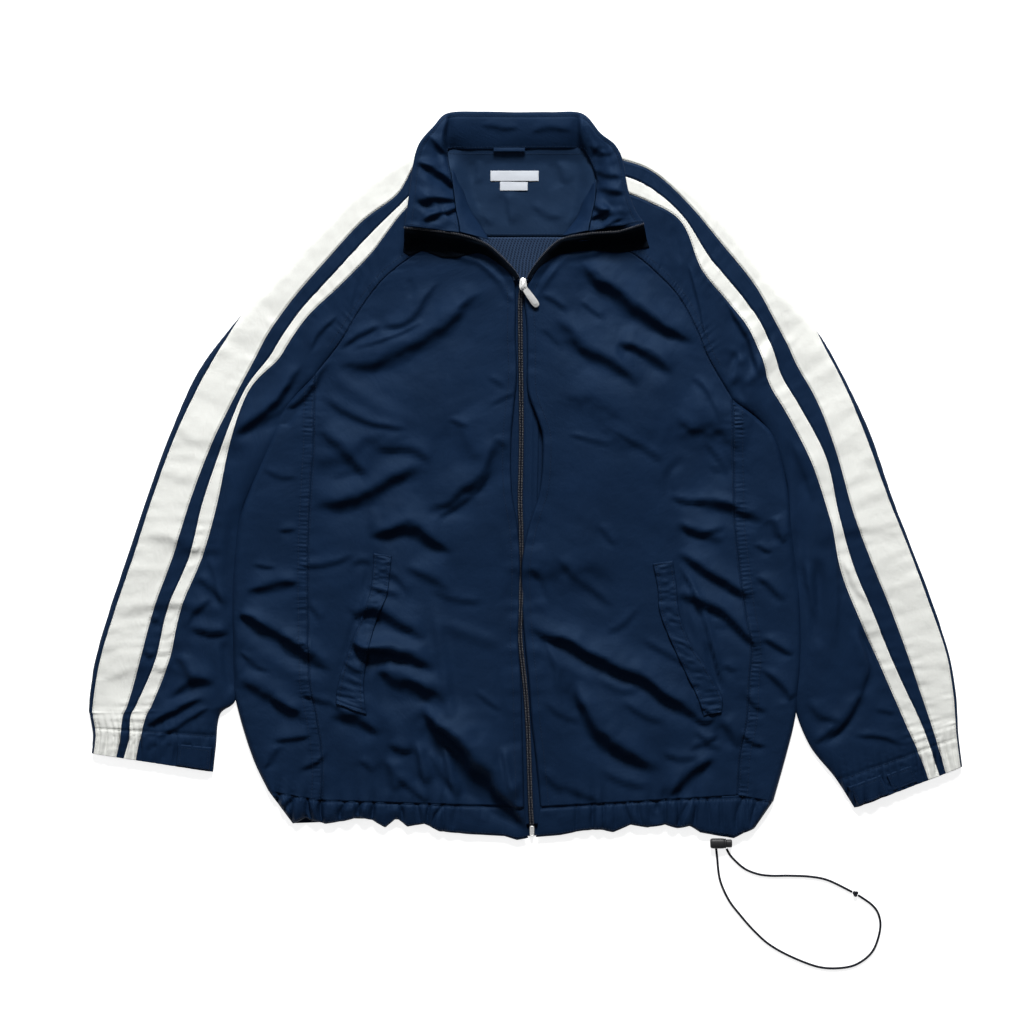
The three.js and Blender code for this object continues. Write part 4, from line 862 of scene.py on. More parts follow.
def fabric(name, colour, roughness, sheen, variation, coordinates="UV", weave=0.5, crinkle=1.0):
    """Woven cloth: a fine weave, a faint crinkle and slightly uneven colour."""
    material = bpy.data.materials.new(name)
    material.use_nodes = True
    nodes, links = material.node_tree.nodes, material.node_tree.links
    shader = nodes["Principled BSDF"]
    shader.inputs["Roughness"].default_value = roughness
    shader.inputs["Sheen Weight"].default_value = sheen
    shader.inputs["Sheen Roughness"].default_value = 0.45
    shader.inputs["Sheen Tint"].default_value = (*[min(1, 0.35 + 2 * part) for part in colour], 1)
    shader.inputs["Specular IOR Level"].default_value = 0.10
    shader.inputs["Specular Tint"].default_value = GLOSS_TINT
    place = nodes.new("ShaderNodeTexCoord").outputs[coordinates]
    if coordinates == "Object":
        scaled = nodes.new("ShaderNodeVectorMath")
        scaled.operation = "SCALE"
        scaled.inputs["Scale"].default_value = 1 / MM
        links.new(place, scaled.inputs[0])
        place = scaled.outputs[0]
    patches = nodes.new("ShaderNodeTexNoise")
    patches.inputs["Scale"].default_value = 0.02
    patches.inputs["Detail"].default_value = 6
    links.new(place, patches.inputs["Vector"])
    tint = nodes.new("ShaderNodeValToRGB")
    tint.color_ramp.elements[0].position = 0.3
    tint.color_ramp.elements[1].position = 0.7
    tint.color_ramp.elements[0].color = (*[part * (1 - variation) for part in colour], 1)
    tint.color_ramp.elements[1].color = (*[min(1, part * (1 + variation)) for part in colour], 1)
    links.new(patches.outputs["Fac"], tint.inputs["Fac"])
    threads = []
    for direction in ("X", "Y"):
        wave = nodes.new("ShaderNodeTexWave")
        wave.bands_direction = direction
        wave.inputs["Scale"].default_value = 0.314 / weave
        wave.inputs["Distortion"].default_value = 0.6
        wave.inputs["Detail Scale"].default_value = 2
        links.new(place, wave.inputs["Vector"])
        threads.append(wave.outputs["Fac"])
    weave_height = nodes.new("ShaderNodeMath")
    weave_height.operation = "MULTIPLY"
    links.new(threads[0], weave_height.inputs[0])
    links.new(threads[1], weave_height.inputs[1])
    threads_tint = nodes.new("ShaderNodeMix")
    threads_tint.data_type = "RGBA"
    threads_tint.blend_type = "MULTIPLY"
    threads_tint.inputs["Factor"].default_value = 0.18
    links.new(tint.outputs["Color"], threads_tint.inputs["A"])
    links.new(weave_height.outputs[0], threads_tint.inputs["B"])
    links.new(threads_tint.outputs["Result"], shader.inputs["Base Color"])
    wrinkle = nodes.new("ShaderNodeTexNoise")
    wrinkle.inputs["Scale"].default_value = 0.16
    wrinkle.inputs["Detail"].default_value = 5
    wrinkle.inputs["Distortion"].default_value = 0.2
    links.new(place, wrinkle.inputs["Vector"])
    crinkle_bump = nodes.new("ShaderNodeBump")
    crinkle_bump.inputs["Strength"].default_value = 1.0
    crinkle_bump.inputs["Distance"].default_value = 0.00032 * crinkle
    links.new(wrinkle.outputs["Fac"], crinkle_bump.inputs["Height"])
    weave_bump = nodes.new("ShaderNodeBump")
    weave_bump.inputs["Strength"].default_value = 0.6
    weave_bump.inputs["Distance"].default_value = 0.00008
    links.new(weave_height.outputs[0], weave_bump.inputs["Height"])
    links.new(crinkle_bump.outputs["Normal"], weave_bump.inputs["Normal"])
    links.new(weave_bump.outputs["Normal"], shader.inputs["Normal"])
    return material


def knit(name, colour):
    """Mesh knit: a slanting lattice of yarn round small holes, painted near black: the darker cloth under them,
    deepened as painted shade seen through them.
    """
    material = bpy.data.materials.new(name)
    material.use_nodes = True
    nodes, links = material.node_tree.nodes, material.node_tree.links
    shader = nodes["Principled BSDF"]
    shader.inputs["Roughness"].default_value = 0.7
    shader.inputs["Specular IOR Level"].default_value = 0.13
    shader.inputs["Specular Tint"].default_value = GLOSS_TINT
    place = nodes.new("ShaderNodeTexCoord").outputs["UV"]
    holes = nodes.new("ShaderNodeTexVoronoi")
    holes.inputs["Scale"].default_value = 0.42
    holes.inputs["Randomness"].default_value = 0.12
    slant = nodes.new("ShaderNodeMapping")
    slant.inputs["Rotation"].default_value = (0, 0, math.radians(45))
    slant.inputs["Scale"].default_value = (1, 0.75, 1)
    links.new(place, slant.inputs["Vector"])
    links.new(slant.outputs["Vector"], holes.inputs["Vector"])
    yarn = nodes.new("ShaderNodeValToRGB")
    yarn.color_ramp.elements[0].position = 0.25
    yarn.color_ramp.elements[1].position = 0.42
    # Holes near black: the darker cloth beneath, deepened as painted shade seen through them
    yarn.color_ramp.elements[0].color = (*[part * 0.15 for part in colour], 1)
    yarn.color_ramp.elements[1].color = (*colour, 1)
    links.new(holes.outputs["Distance"], yarn.inputs["Fac"])
    links.new(yarn.outputs["Color"], shader.inputs["Base Color"])
    relief = nodes.new("ShaderNodeBump")
    relief.inputs["Strength"].default_value = 0.8
    relief.inputs["Distance"].default_value = 0.0004
    links.new(holes.outputs["Distance"], relief.inputs["Height"])
    links.new(relief.outputs["Normal"], shader.inputs["Normal"])
    return material


def hard(name, colour, roughness, metallic, grain, bump):
    """Metal or moulded plastic with a fine grain and uneven roughness."""
    material = bpy.data.materials.new(name)
    material.use_nodes = True
    nodes, links = material.node_tree.nodes, material.node_tree.links
    shader = nodes["Principled BSDF"]
    shader.inputs["Metallic"].default_value = metallic
    place = nodes.new("ShaderNodeTexCoord").outputs["Object"]
    specks = nodes.new("ShaderNodeTexNoise")
    specks.inputs["Scale"].default_value = grain
    specks.inputs["Detail"].default_value = 8
    links.new(place, specks.inputs["Vector"])
    tint = nodes.new("ShaderNodeValToRGB")
    tint.color_ramp.elements[0].color = (*[part * 0.82 for part in colour], 1)
    tint.color_ramp.elements[1].color = (*[min(1, part * 1.12) for part in colour], 1)
    links.new(specks.outputs["Fac"], tint.inputs["Fac"])
    links.new(tint.outputs["Color"], shader.inputs["Base Color"])
    rough = nodes.new("ShaderNodeMapRange")
    rough.inputs["To Min"].default_value = roughness * 0.75
    rough.inputs["To Max"].default_value = roughness * 1.3
    links.new(specks.outputs["Fac"], rough.inputs["Value"])
    links.new(rough.outputs["Result"], shader.inputs["Roughness"])
    relief = nodes.new("ShaderNodeBump")
    relief.inputs["Strength"].default_value = 0.5
    relief.inputs["Distance"].default_value = bump
    links.new(specks.outputs["Fac"], relief.inputs["Height"])
    links.new(relief.outputs["Normal"], shader.inputs["Normal"])
    return material


NAVY = (0.0040, 0.0122, 0.0340)
WHITE = (0.66, 0.665, 0.632)
GLOSS_TINT = (0.35, 0.58, 0.9, 1)
navy = fabric("navy_twill", NAVY, 0.55, 0.0, 0.10)
navy_plain = fabric("navy_twill_flat", NAVY, 0.55, 0.0, 0.10, coordinates="Object")
white = fabric("white_twill", WHITE, 0.7, 0.05, 0.04)
lining = fabric("yoke_lining", (0.0068, 0.0170, 0.041), 0.55, 0.0, 0.08, crinkle=0.8)
mesh_knit = knit("mesh_lining", (0.016, 0.029, 0.060))
satin = fabric("label_satin", (0.46, 0.485, 0.525), 0.4, 0.2, 0.05, weave=0.25, crinkle=0.4)
navy_thread = fabric("navy_thread", (0.009, 0.019, 0.044), 0.5, 0.04, 0.1, coordinates="Object", weave=0.3)
white_thread = fabric("white_thread", (0.66, 0.67, 0.63), 0.5, 0.05, 0.05, coordinates="Object", weave=0.3)
# Near black zip band: its own dark colour, deepened as painted shade below the collar's open edges
tape_and_painted_shade = fabric("zip_tape_and_painted_shade", (0.0007, 0.0011, 0.0024), 0.8, 0.0, 0.04, coordinates="Object", weave=0.35)
coil = hard("zip_coil", (0.011, 0.0125, 0.019), 0.42, 0, 900, 0.00002)
nickel = hard("zip_metal", (0.78, 0.78, 0.77), 0.36, 0.6, 1400, 0.00001)
plastic = hard("lock_plastic", (0.006, 0.006, 0.007), 0.55, 0, 1600, 0.00003)
braid = fabric("elastic_cord", (0.012, 0.012, 0.015), 0.6, 0.25, 0.2, weave=0.4, crinkle=0.2)


# Every piece: attached to its body, with the imported parts it stands for hidden

def finish_piece(piece, nodes=(), body="root"):
    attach(piece, body)
    if nodes:
        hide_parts(*nodes)
    return piece


def finish_cloth(piece, nodes):
    finish_piece(piece, nodes)
    return piece


# Camera

def make_camera():
    data = bpy.data.cameras.new("camera")
    data.sensor_width = SENSOR_WIDTH
    data.lens = SENSOR_WIDTH * CAMERA_HEIGHT / (PHOTO_WIDTH * PIXEL_SIZE * MM)
    camera = bpy.data.objects.new("camera", data)
    camera.location = (PHOTO_MIDDLE[0] * MM, PHOTO_MIDDLE[1] * MM, CAMERA_HEIGHT)
    bpy.context.scene.collection.objects.link(camera)
    bpy.context.scene.camera = camera


# Cords

def smooth_route(points, per_stretch=12):
    """Points of a smooth curve through a route."""
    rows = table(["x", "y"], points)
    count = len(points) - 1
    row = np.linspace(0, count, count * per_stretch + 1)
    return np.stack([along(rows, "x", row), along(rows, "y", row), np.full(row.shape, CORD_HEIGHT)], -1)


def spaced(points, step):
    """The same line with points an even step apart."""
    lengths = np.linalg.norm(np.diff(points, axis=0), axis=1)
    run = np.concatenate([[0], np.cumsum(lengths)])
    places = np.linspace(0, run[-1], max(2, round(run[-1] / step) + 1))
    return np.stack([np.interp(places, run, points[:, axis]) for axis in range(3)], -1)


def tube(name, line, radius, sides, material, relief=None):
    """Closed tube along a line, with a relief over its length and round it."""
    tangent = np.gradient(line, axis=0)
    tangent /= np.linalg.norm(tangent, axis=1, keepdims=True)
    up = np.array([0.0, 0.0, 1.0])
    side = np.cross(up, tangent)
    side /= np.linalg.norm(side, axis=1, keepdims=True)
    lift = np.cross(tangent, side)
    angle = np.arange(sides) * 2 * np.pi / sides
    run = np.concatenate([[0], np.cumsum(np.linalg.norm(np.diff(line, axis=0), axis=1))])
    size = radius * np.ones((len(line), sides))
    if relief is not None:
        size = size + relief(run[:, None], angle[None, :])
    ring = side[:, None] * np.cos(angle)[None, :, None] + lift[:, None] * np.sin(angle)[None, :, None]
    points = (line[:, None] + ring * size[..., None]).reshape(-1, 3)
    index = np.arange(len(line) * sides).reshape(len(line), sides)
    after = np.roll(index, -1, axis=1)
    faces = np.stack([index[:-1], after[:-1], after[1:], index[1:]], -1).reshape(-1, 4).tolist()
    faces.append(index[0, ::-1].tolist())
    faces.append(index[-1].tolist())
    mesh_uv = np.stack([
        np.broadcast_to(angle * radius, size.shape), np.broadcast_to(run[:, None], size.shape),
    ], -1).reshape(-1, 2)
    mesh = bpy.data.meshes.new(name)
    mesh.from_pydata((points * MM).tolist(), [], faces)
    mesh.polygons.foreach_set("use_smooth", [True] * len(mesh.polygons))
    layer = mesh.uv_layers.new(name="cloth")
    corners = np.zeros(len(mesh.loops), int)
    mesh.loops.foreach_get("vertex_index", corners)
    layer.data.foreach_set("uv", mesh_uv.astype(np.float32)[corners].ravel())
    mesh.materials.append(material)
    mesh.update()
    piece = bpy.data.objects.new(name, mesh)
    bpy.context.scene.collection.objects.link(piece)
    return piece


def braided(run, angle):
    """Relief of crossing strands."""
    turn = 2 * np.pi * run / 3.2
    return 0.09 * np.maximum(np.sin(3 * angle + turn), np.sin(3 * angle - turn))


def make_cords():
    knot = make_knot()
    for letter, with_pieces in (("a", [knot]), ("b", [])):
        line = spaced(smooth_route(CORD_ROUTES[letter]), 0.55)
        name = f"drawcord_{letter}"
        piece = tube(name + "_braid", line, CORD_DIAMETER / 2 - 0.06, 12, braid, braided)
        finish_piece(piece, [name])


def make_knot():
    """Overhand knot of the cord, as a short tube wound over itself, with two cut ends."""
    turn = np.linspace(0, 2 * np.pi, 90)
    x = (np.sin(turn) + 2 * np.sin(2 * turn)) * 0.75
    y = (np.cos(turn) - 2 * np.cos(2 * turn)) * 0.75
    z = -np.sin(3 * turn) * 0.9
    line = np.stack([x, y, z], -1)[4:-4] + np.array(KNOT_PLACE)
    knot = tube("knot_loop", line, CORD_DIAMETER / 2 * 0.85, 10, braid, braided)
    return finish_piece(knot, ["cord_knot"])


# Sleeves

def sleeve_ends(sleeve, row):
    rows, underarm = sleeve["rows"], sleeve["underarm"]
    last = len(rows["outerX"]) - 1
    outer = (along(rows, "outerX", row), along(rows, "outerY", row))
    inner = []
    for name in ("innerX", "innerY"):
        upper = along(rows, name, np.minimum(row, underarm), 0, underarm)
        lower = along(rows, name, np.maximum(row, underarm), underarm, last)
        inner.append(np.where(row <= underarm, upper, lower))
    return outer, tuple(inner)


def sleeve_width(sleeve, row):
    outer, inner = sleeve_ends(sleeve, row)
    return np.hypot(inner[0] - outer[0], inner[1] - outer[1])


def sleeve_points(sleeve, row, share):
    """Points of the sleeve at rows and signed shares, arrays of one shape."""
    outer, inner = sleeve_ends(sleeve, row)
    underarm = sleeve["underarm"]
    width = np.hypot(inner[0] - outer[0], inner[1] - outer[1])
    away = SLEEVE_CLEARANCE * ease(underarm - 0.5, underarm + 0.5, row) / width
    inner = tuple(mix(inner[axis], outer[axis], away) for axis in (0, 1))
    closed = ease(underarm - 1.5, underarm, row)
    bow = sleeve["neck_bow"] * (1 - ease(0, 1.5, row))
    return tube_points(outer, inner, share, closed, SLEEVE_OUTER_REACH, SLEEVE_INNER_REACH, bow)


CUFF_LENGTH = 32
SLEEVE_LENGTH = 740


def from_cuff(sleeve, row):
    """Distance up the sleeve from its end."""
    last = len(sleeve["rows"]["outerX"]) - 1
    fine = np.linspace(0, last, 200)
    outer, inner = sleeve_ends(sleeve, fine)
    x, y = (outer[0] + inner[0]) / 2, (outer[1] + inner[1]) / 2
    run = np.concatenate([[0], np.cumsum(np.hypot(np.diff(x), np.diff(y)))])
    return run[-1] - np.interp(row, fine, run)


def cuff_gathers(sleeve, row, across, up):
    """Ripples that the elastic draws up in the cuff, fading out above it."""
    strength = 1 - ease(CUFF_LENGTH - 4, CUFF_LENGTH + 26, up)
    belly = 0.45 + 0.55 * np.sin(np.pi * np.clip(up / CUFF_LENGTH, 0, 1))
    ripple = np.sin(across / 1.15 + 1.2 * noise(across / 9, up / 40, 5))
    ripple = ripple + 0.6 * noise(across / 2.6, up / 30, 6)
    channel = -1.0 * np.exp(-((up - CUFF_LENGTH) / 1.6) ** 2)
    slots = 1 - 2.4 * (1 - np.abs(np.sin(across / 2.3 + 0.9 * noise(across / 9, up / 40, 19)))) ** 1.5
    return strength * (0.6 * belly * ripple + 1.7 * belly * slots) + channel * np.ones_like(across)


def seam_relief(distance, run, side_seed, band=7.0, pucker=0.35):
    """A groove at a seam, the seam allowance beside it and small puckers across it."""
    groove = -0.75 * np.exp(-((distance / 1.3) ** 2))
    allowance = 0.35 * ease(0.4, 1.8, distance) * (1 - ease(band, band + 1.6, distance))
    stitch_dip = -0.3 * np.exp(-(((distance - band + 0.4) / 0.8) ** 2))
    ripple = noise(run / 4.2, distance / 26, side_seed) + 0.6 * noise(run / 9.5, distance / 40, side_seed + 1)
    fade = np.exp(-((distance / 13) ** 2))
    return groove + allowance + stitch_dip + pucker * ripple * fade


def ladder(run, distance, band):
    """Small even puckers across the band between a seam and its stitching."""
    wave = np.sin(run / 0.74 + 2.6 * noise(run / 9, distance / 11, 24))
    strength = np.clip(0.75 + 0.9 * noise(run / 11, 0.2 * distance, 26), 0.1, 1.6)
    return 0.5 * strength * wave * ease(0, 2, distance) * (1 - ease(band - 0.8, band + 1.4, distance))


def sleeve_panel(name, sleeve, span, material, facing=1, seams=(True, True), coarse_below=True):
    """One lengthwise piece of a sleeve between two columns of signed shares."""
    last = len(sleeve["rows"]["outerX"]) - 1
    start = 0.28 if material is white else 0
    head = sleeve["underarm"] - 0.5 if name.startswith("sleeve_front") else start + 0.1
    row = np.concatenate([
        even(start, head, (head - start) * 40, 1.6),
        even(head, last - 1.9, SLEEVE_LENGTH * (last - 1.9 - head) / last)[1:],
        even(last - 1.9, last, 62, 1.6)[1:],
    ])
    low, high = span(row)
    width = sleeve_width(sleeve, row)
    gap = SEAM_GAP / 2 / width
    low, high = low + gap, high - gap
    widest = float(np.max((high - low) * width))
    if coarse_below:
        part = graded(widest, 2.1 if material is white else MESH_STEP)
    else:
        part = under_shares(low, high, widest)
    grid_row = np.repeat(row[:, None], len(part), axis=1)
    share = mix(low[:, None], high[:, None], part[None, :])
    points = sleeve_points(sleeve, grid_row, share)
    run = from_cuff(sleeve, grid_row)
    across = share * width[:, None]
    wide = (high - low)[:, None] * width[:, None]
    from_low, from_high = part[None, :] * wide, (1 - part[None, :]) * wide
    above = ease(0, 6, across) * np.ones_like(run)
    lift = np.zeros_like(run)
    if seams[0]:
        lift += seam_relief(from_low, run, 3, band=1.8, pucker=0.4)
    if seams[1]:
        lift += seam_relief(from_high, run, 7, band=1.8, pucker=0.4)
    lift = lift * np.minimum(1, wide / 14) + cuff_gathers(sleeve, grid_row, across, run)
    if material is white:
        lift += 0.45 * noise(run / 11, across / 34, 27) + 0.3 * noise(run / 5.5, across / 20, 28)
    if name.startswith("sleeve_front"):
        raglan = 1 - ease(sleeve["underarm"] - 1.2, sleeve["underarm"] - 0.4, grid_row)
        lift += raglan * seam_relief(from_high, run, 9, band=8, pucker=0.6)
        lift += raglan * ladder(run, from_high, 8)
    points[..., 2] += lift * above
    piece = shell(name, points, material, facing)
    lines = []
    if material is white:
        lines = [line_at(points, from_low, 1.5), line_at(points, from_high, 1.5)]
    elif name.startswith("sleeve_front"):
        upper = grid_row[:, 0] < sleeve["underarm"] - 0.7
        lines = [line_at(points[upper], from_high[upper], wanted) for wanted in (1.6, 7.6)]
    if name.startswith("sleeve_") and "back" not in name or material is white:
        cuff = points[np.argmin(np.abs(run[:, 0] - CUFF_LENGTH))]
        lines.append(cuff[(from_low[0] > 0)])
    sewn = [stitches(name + "_stitches", lines, white_thread if material is white else navy_thread)] if lines else []
    return piece, sewn


def under_shares(low, high, widest):
    """Shares of the underside piece, few where it lies flat and close at the fold."""
    flat = np.linspace(0, 0.85, 14)[:-1]
    fold = np.linspace(0.85, 1, 26)
    return np.concatenate([flat, fold])


def make_sleeve(side):
    sleeve = SLEEVES[side]
    rows = sleeve["rows"]
    column = lambda name: lambda row: along(rows, name, row)
    back_seam = lambda row: -np.minimum(1, along(rows, "backSeam", row))
    spans = {
        "sleeve_back": (back_seam, column("wideFrom"), navy, -1, (False, True)),
        "stripe_wide": (column("wideFrom"), column("wideTo"), white, 1, (True, True)),
        "sleeve_middle": (column("wideTo"), column("narrowFrom"), navy, 1, (True, True)),
        "stripe_narrow": (column("narrowFrom"), column("narrowTo"), white, 1, (True, True)),
        "sleeve_front": (column("narrowTo"), lambda row: np.ones_like(row), navy, 1, (True, False)),
    }
    for name, (low, high, material, facing, seams) in spans.items():
        node = f"{name}_{side}"
        piece, sewn = sleeve_panel(
            node + "_cloth", sleeve, lambda row: (low(row), high(row)), material, facing, seams,
            coarse_below=name != "sleeve_back",
        )
        finish_cloth(piece, [node])


# Body

def body_ends(body, row):
    rows, underarm = body["rows"], body["underarm"]
    last = len(rows["edgeX"]) - 1
    ends = {}
    for name in ("edge", "seam"):
        place = []
        for axis in "XY":
            upper = along(rows, name + axis, np.minimum(row, underarm), 0, underarm)
            lower = along(rows, name + axis, np.maximum(row, underarm), underarm, last)
            place.append(np.where(row <= underarm, upper, lower))
        ends[name] = tuple(place)
    ends["zip"] = (along(rows, "zipX", row), along(rows, "zipY", row))
    return ends


def front_points(side, row, offset_share):
    """Points of a front at rows and shares from the raglan or side seam (0) to the zip (1)."""
    ends = body_ends(BODIES[side], row)
    x = mix(ends["seam"][0], ends["zip"][0], offset_share)
    y = mix(ends["seam"][1], ends["zip"][1], offset_share)
    return np.stack([x, y, cloth_height(x, y)], -1)


def row_length(ends, name, row):
    x, y = ends[name]
    return np.concatenate([[0], np.cumsum(np.hypot(np.diff(x), np.diff(y)))])


def make_front(side):
    body = BODIES[side]
    last = len(body["rows"]["edgeX"]) - 1
    row = even(0, last, 640)
    ends = body_ends(body, row)
    width = np.hypot(ends["seam"][0] - ends["zip"][0], ends["seam"][1] - ends["zip"][1])
    run = row_length(ends, "seam", row)
    part = graded(float(width.max()))
    gap = SEAM_GAP / 2 / width
    share = gap[:, None] + (1 - gap[:, None]) * part[None, :]
    points = front_points(side, np.repeat(row[:, None], len(part), axis=1), share)
    from_seam = share * width[:, None]
    from_zip = (1 - share) * width[:, None]
    along_seam = np.repeat(run[:, None], len(part), axis=1)
    lift = seam_relief(from_seam, along_seam, 4 if side == "left" else 9, band=1.6, pucker=0.35)
    roll = -2.2 * (1 - rounded(from_zip, 2.6))
    placket = 0.4 * ease(0.5, 2, from_zip) * (1 - ease(8, 10, from_zip))
    ripple = noise(along_seam / 7, from_zip / 30, 8) + 0.7 * noise(along_seam / 16, from_zip / 40, 18)
    lift = lift + roll + placket + 0.5 * ripple * np.exp(-(from_zip / 13) ** 2)
    points[..., 2] += lift * np.minimum(1, width / 40)[:, None]
    piece = shell(f"front_{side}_cloth", points, navy)
    open_part = row > 3.4
    lines = [line_at(points[open_part], from_zip[open_part], 8.6), line_at(points, from_seam, 1.4)]
    sewn = [stitches(f"front_{side}_stitches", lines, navy_thread)]
    finish_cloth(
        piece, [f"front_{side}"],
    )


SIDE_LENGTH = 430


def make_side(side):
    body = BODIES[side]
    last = len(body["rows"]["edgeX"]) - 1
    row = even(body["underarm"] + 0.08, last, SIDE_LENGTH, 1.5)
    ends = body_ends(body, row)
    width = np.hypot(ends["seam"][0] - ends["edge"][0], ends["seam"][1] - ends["edge"][1])
    widest = float(width.max())
    under = np.linspace(-1, -0.14, 9)
    fold = np.linspace(-0.12, 0.14, 22)
    top = 0.14 + 0.86 * graded(widest * 0.86, 3.2)[1:]
    share = np.concatenate([under, fold, top])
    gap = SEAM_GAP / 2 / width
    signed = share[None, :] * (1 - gap[:, None])
    grid_row = np.repeat(row[:, None], len(share), axis=1)
    ends = body_ends(body, grid_row)
    points = tube_points(ends["edge"], ends["seam"], signed, 0.0, BODY_EDGE_REACH, 1.0)
    run = np.repeat(row_length(body_ends(body, row), "seam", row)[:, None], len(share), axis=1)
    from_seam = (1 - np.abs(signed)) * width[:, None]
    above = (signed > 0) * ease(0, 8, signed * width[:, None])
    points[..., 2] += above * seam_relief(from_seam, run, 4 if side == "left" else 9, band=10.5, pucker=0.5)
    points[..., 2] += above * ladder(run, from_seam, 10.5)
    piece = shell(f"side_{side}_cloth", points, navy)
    top = [np.where(signed[i] > 0, from_seam[i], 1000) for i in range(len(row))]
    lines = [line_at(points, top, wanted) for wanted in (1.4, 10)]
    sewn = [stitches(f"side_{side}_stitches", lines, navy_thread)]
    finish_cloth(
        piece, [f"side_{side}"],
    )


# Hem

def hem_points(side, share, down, depth=0.0):
    """Points of the hem casing of one half. Share runs from the zip (0) to the side fold (1)."""
    body = BODIES[side]
    last = float(len(body["rows"]["edgeX"]) - 1)
    ends = body_ends(body, np.array(last))
    zip_end, seam, edge = (np.array([float(v) for v in ends[name]]) for name in ("zip", "seam", "edge"))
    line = HEM_LINE[side]
    corner = np.array([line["x"][0], line["y"][0]]) if side == "left" else np.array([line["x"][-1], line["y"][-1]])
    foot = np.array([line["x"][-1], line["y"][-1]]) if side == "left" else np.array([line["x"][0], line["y"][0]])
    first = np.clip(share * 2, 0, 1)
    second = np.clip(share * 2 - 1, 0, 1)
    top_x = np.where(share < 0.5, mix(zip_end[0], seam[0], first), mix(seam[0], edge[0], second))
    top_y = np.where(share < 0.5, mix(zip_end[1], seam[1], first), mix(seam[1], edge[1], second))
    foot_x = np.where(share < 0.5, mix(foot[0], seam[0], first), mix(seam[0], corner[0], second))
    foot_y = np.interp(foot_x, line["x"], line["y"])
    x, y = mix(top_x, foot_x, down), mix(top_y, foot_y, down)
    edge_x = mix(edge[0], corner[0], down)
    run = np.abs(x - edge_x)
    round_edge = rounded(run, BODY_EDGE_REACH)
    level = cloth_height(x, y) - 0.6 + hem_relief(x, down)
    return np.stack([x, y, FOLD_RADIUS + (level - FOLD_RADIUS) * round_edge], -1)


HEM_STITCH = 0.06


def hem_relief(x, down):
    """Gathers that the drawcord pulls into the casing, none beside the zip, and its stitched channel."""
    pull = (0.12 + 0.88 * ease(50, 110, np.abs(x))) * (0.85 + 0.3 * noise(x / 60, down * 0 + 2, 3))
    lean = x + 14 * (down - 0.5) * noise(x / 35, 0 * down + 4, 18)
    ridge = 1 - 2.4 * (1 - np.abs(np.sin(lean / 5.6 + 2.2 * noise(lean / 20, down * 0.8, 12)))) ** 1.6
    ridge = ridge * (0.75 + 0.6 * noise(lean / 15, down * 0.5, 19))
    fine = noise(x / 4.6, down * 0.7, 13)
    body = np.sin(np.pi * np.clip(down * 0.92 + 0.08, 0, 1)) ** 0.7
    foot = -2.6 * (1 - rounded((1 - down) * 30, 5))
    channel = -0.9 * np.exp(-(((down - HEM_STITCH) * 30 / 1.4) ** 2))
    quiet = 0.35 * noise(x / 8, down * 3, 14) * body
    rungs = pull * ladder(x, down * 30, 7) * ease(60, 110, np.abs(x))
    return pull * body * (2.8 * ridge + 0.9 * fine) + rungs + quiet + foot + channel + 0.8 * body


def make_hem(side):
    body = BODIES[side]
    share = np.concatenate([np.linspace(0, 0.5, 190)[:-1], np.linspace(0.5, 0.97, 48)[:-1], np.linspace(0.97, 1, 12)])
    down = np.concatenate([[0.0, 0.02, 0.04, 0.06, 0.08, 0.11], np.linspace(0.14, 0.86, 13), np.linspace(0.89, 1, 7)])
    grid_share = np.repeat(share[None, :], len(down), axis=0)
    grid_down = np.repeat(down[:, None], len(share), axis=1)
    top = hem_points(side, grid_share, grid_down)
    last = float(len(body["rows"]["edgeX"]) - 1)
    ends = body_ends(body, np.array(last))
    line = HEM_LINE[side]
    at = 0 if side == "left" else -1
    corner_x, corner_y = line["x"][at], line["y"][at]
    seam_foot = float(np.interp(float(ends["seam"][0]), line["x"], line["y"]))
    under = []
    for part in (0.05, 0.15, 0.4, 0.7, 1.0):
        top_x = mix(float(ends["edge"][0]), float(ends["seam"][0]), part)
        top_y = mix(float(ends["edge"][1]), float(ends["seam"][1]), part)
        x = mix(top_x, mix(corner_x, float(ends["seam"][0]), part), down)
        y = mix(top_y, mix(corner_y, seam_foot, part), down)
        low = 1.2 * (1 - part) ** 6
        under.append(np.stack([x, y, np.full(x.shape, max(0.05, low))], -1))
    grid = np.concatenate([top, np.stack(under, 1)], axis=1)
    piece = shell(f"hem_{side}_cloth", grid, navy, thickness=0.9)
    lines = [top[np.argmin(np.abs(down - HEM_STITCH - 0.02))], top[np.argmin(np.abs(down - 0.9))]]
    sewn = [stitches(f"hem_{side}_stitches", lines, navy_thread)]
    finish_cloth(
        piece, [f"hem_{side}"],
    )


# Neck

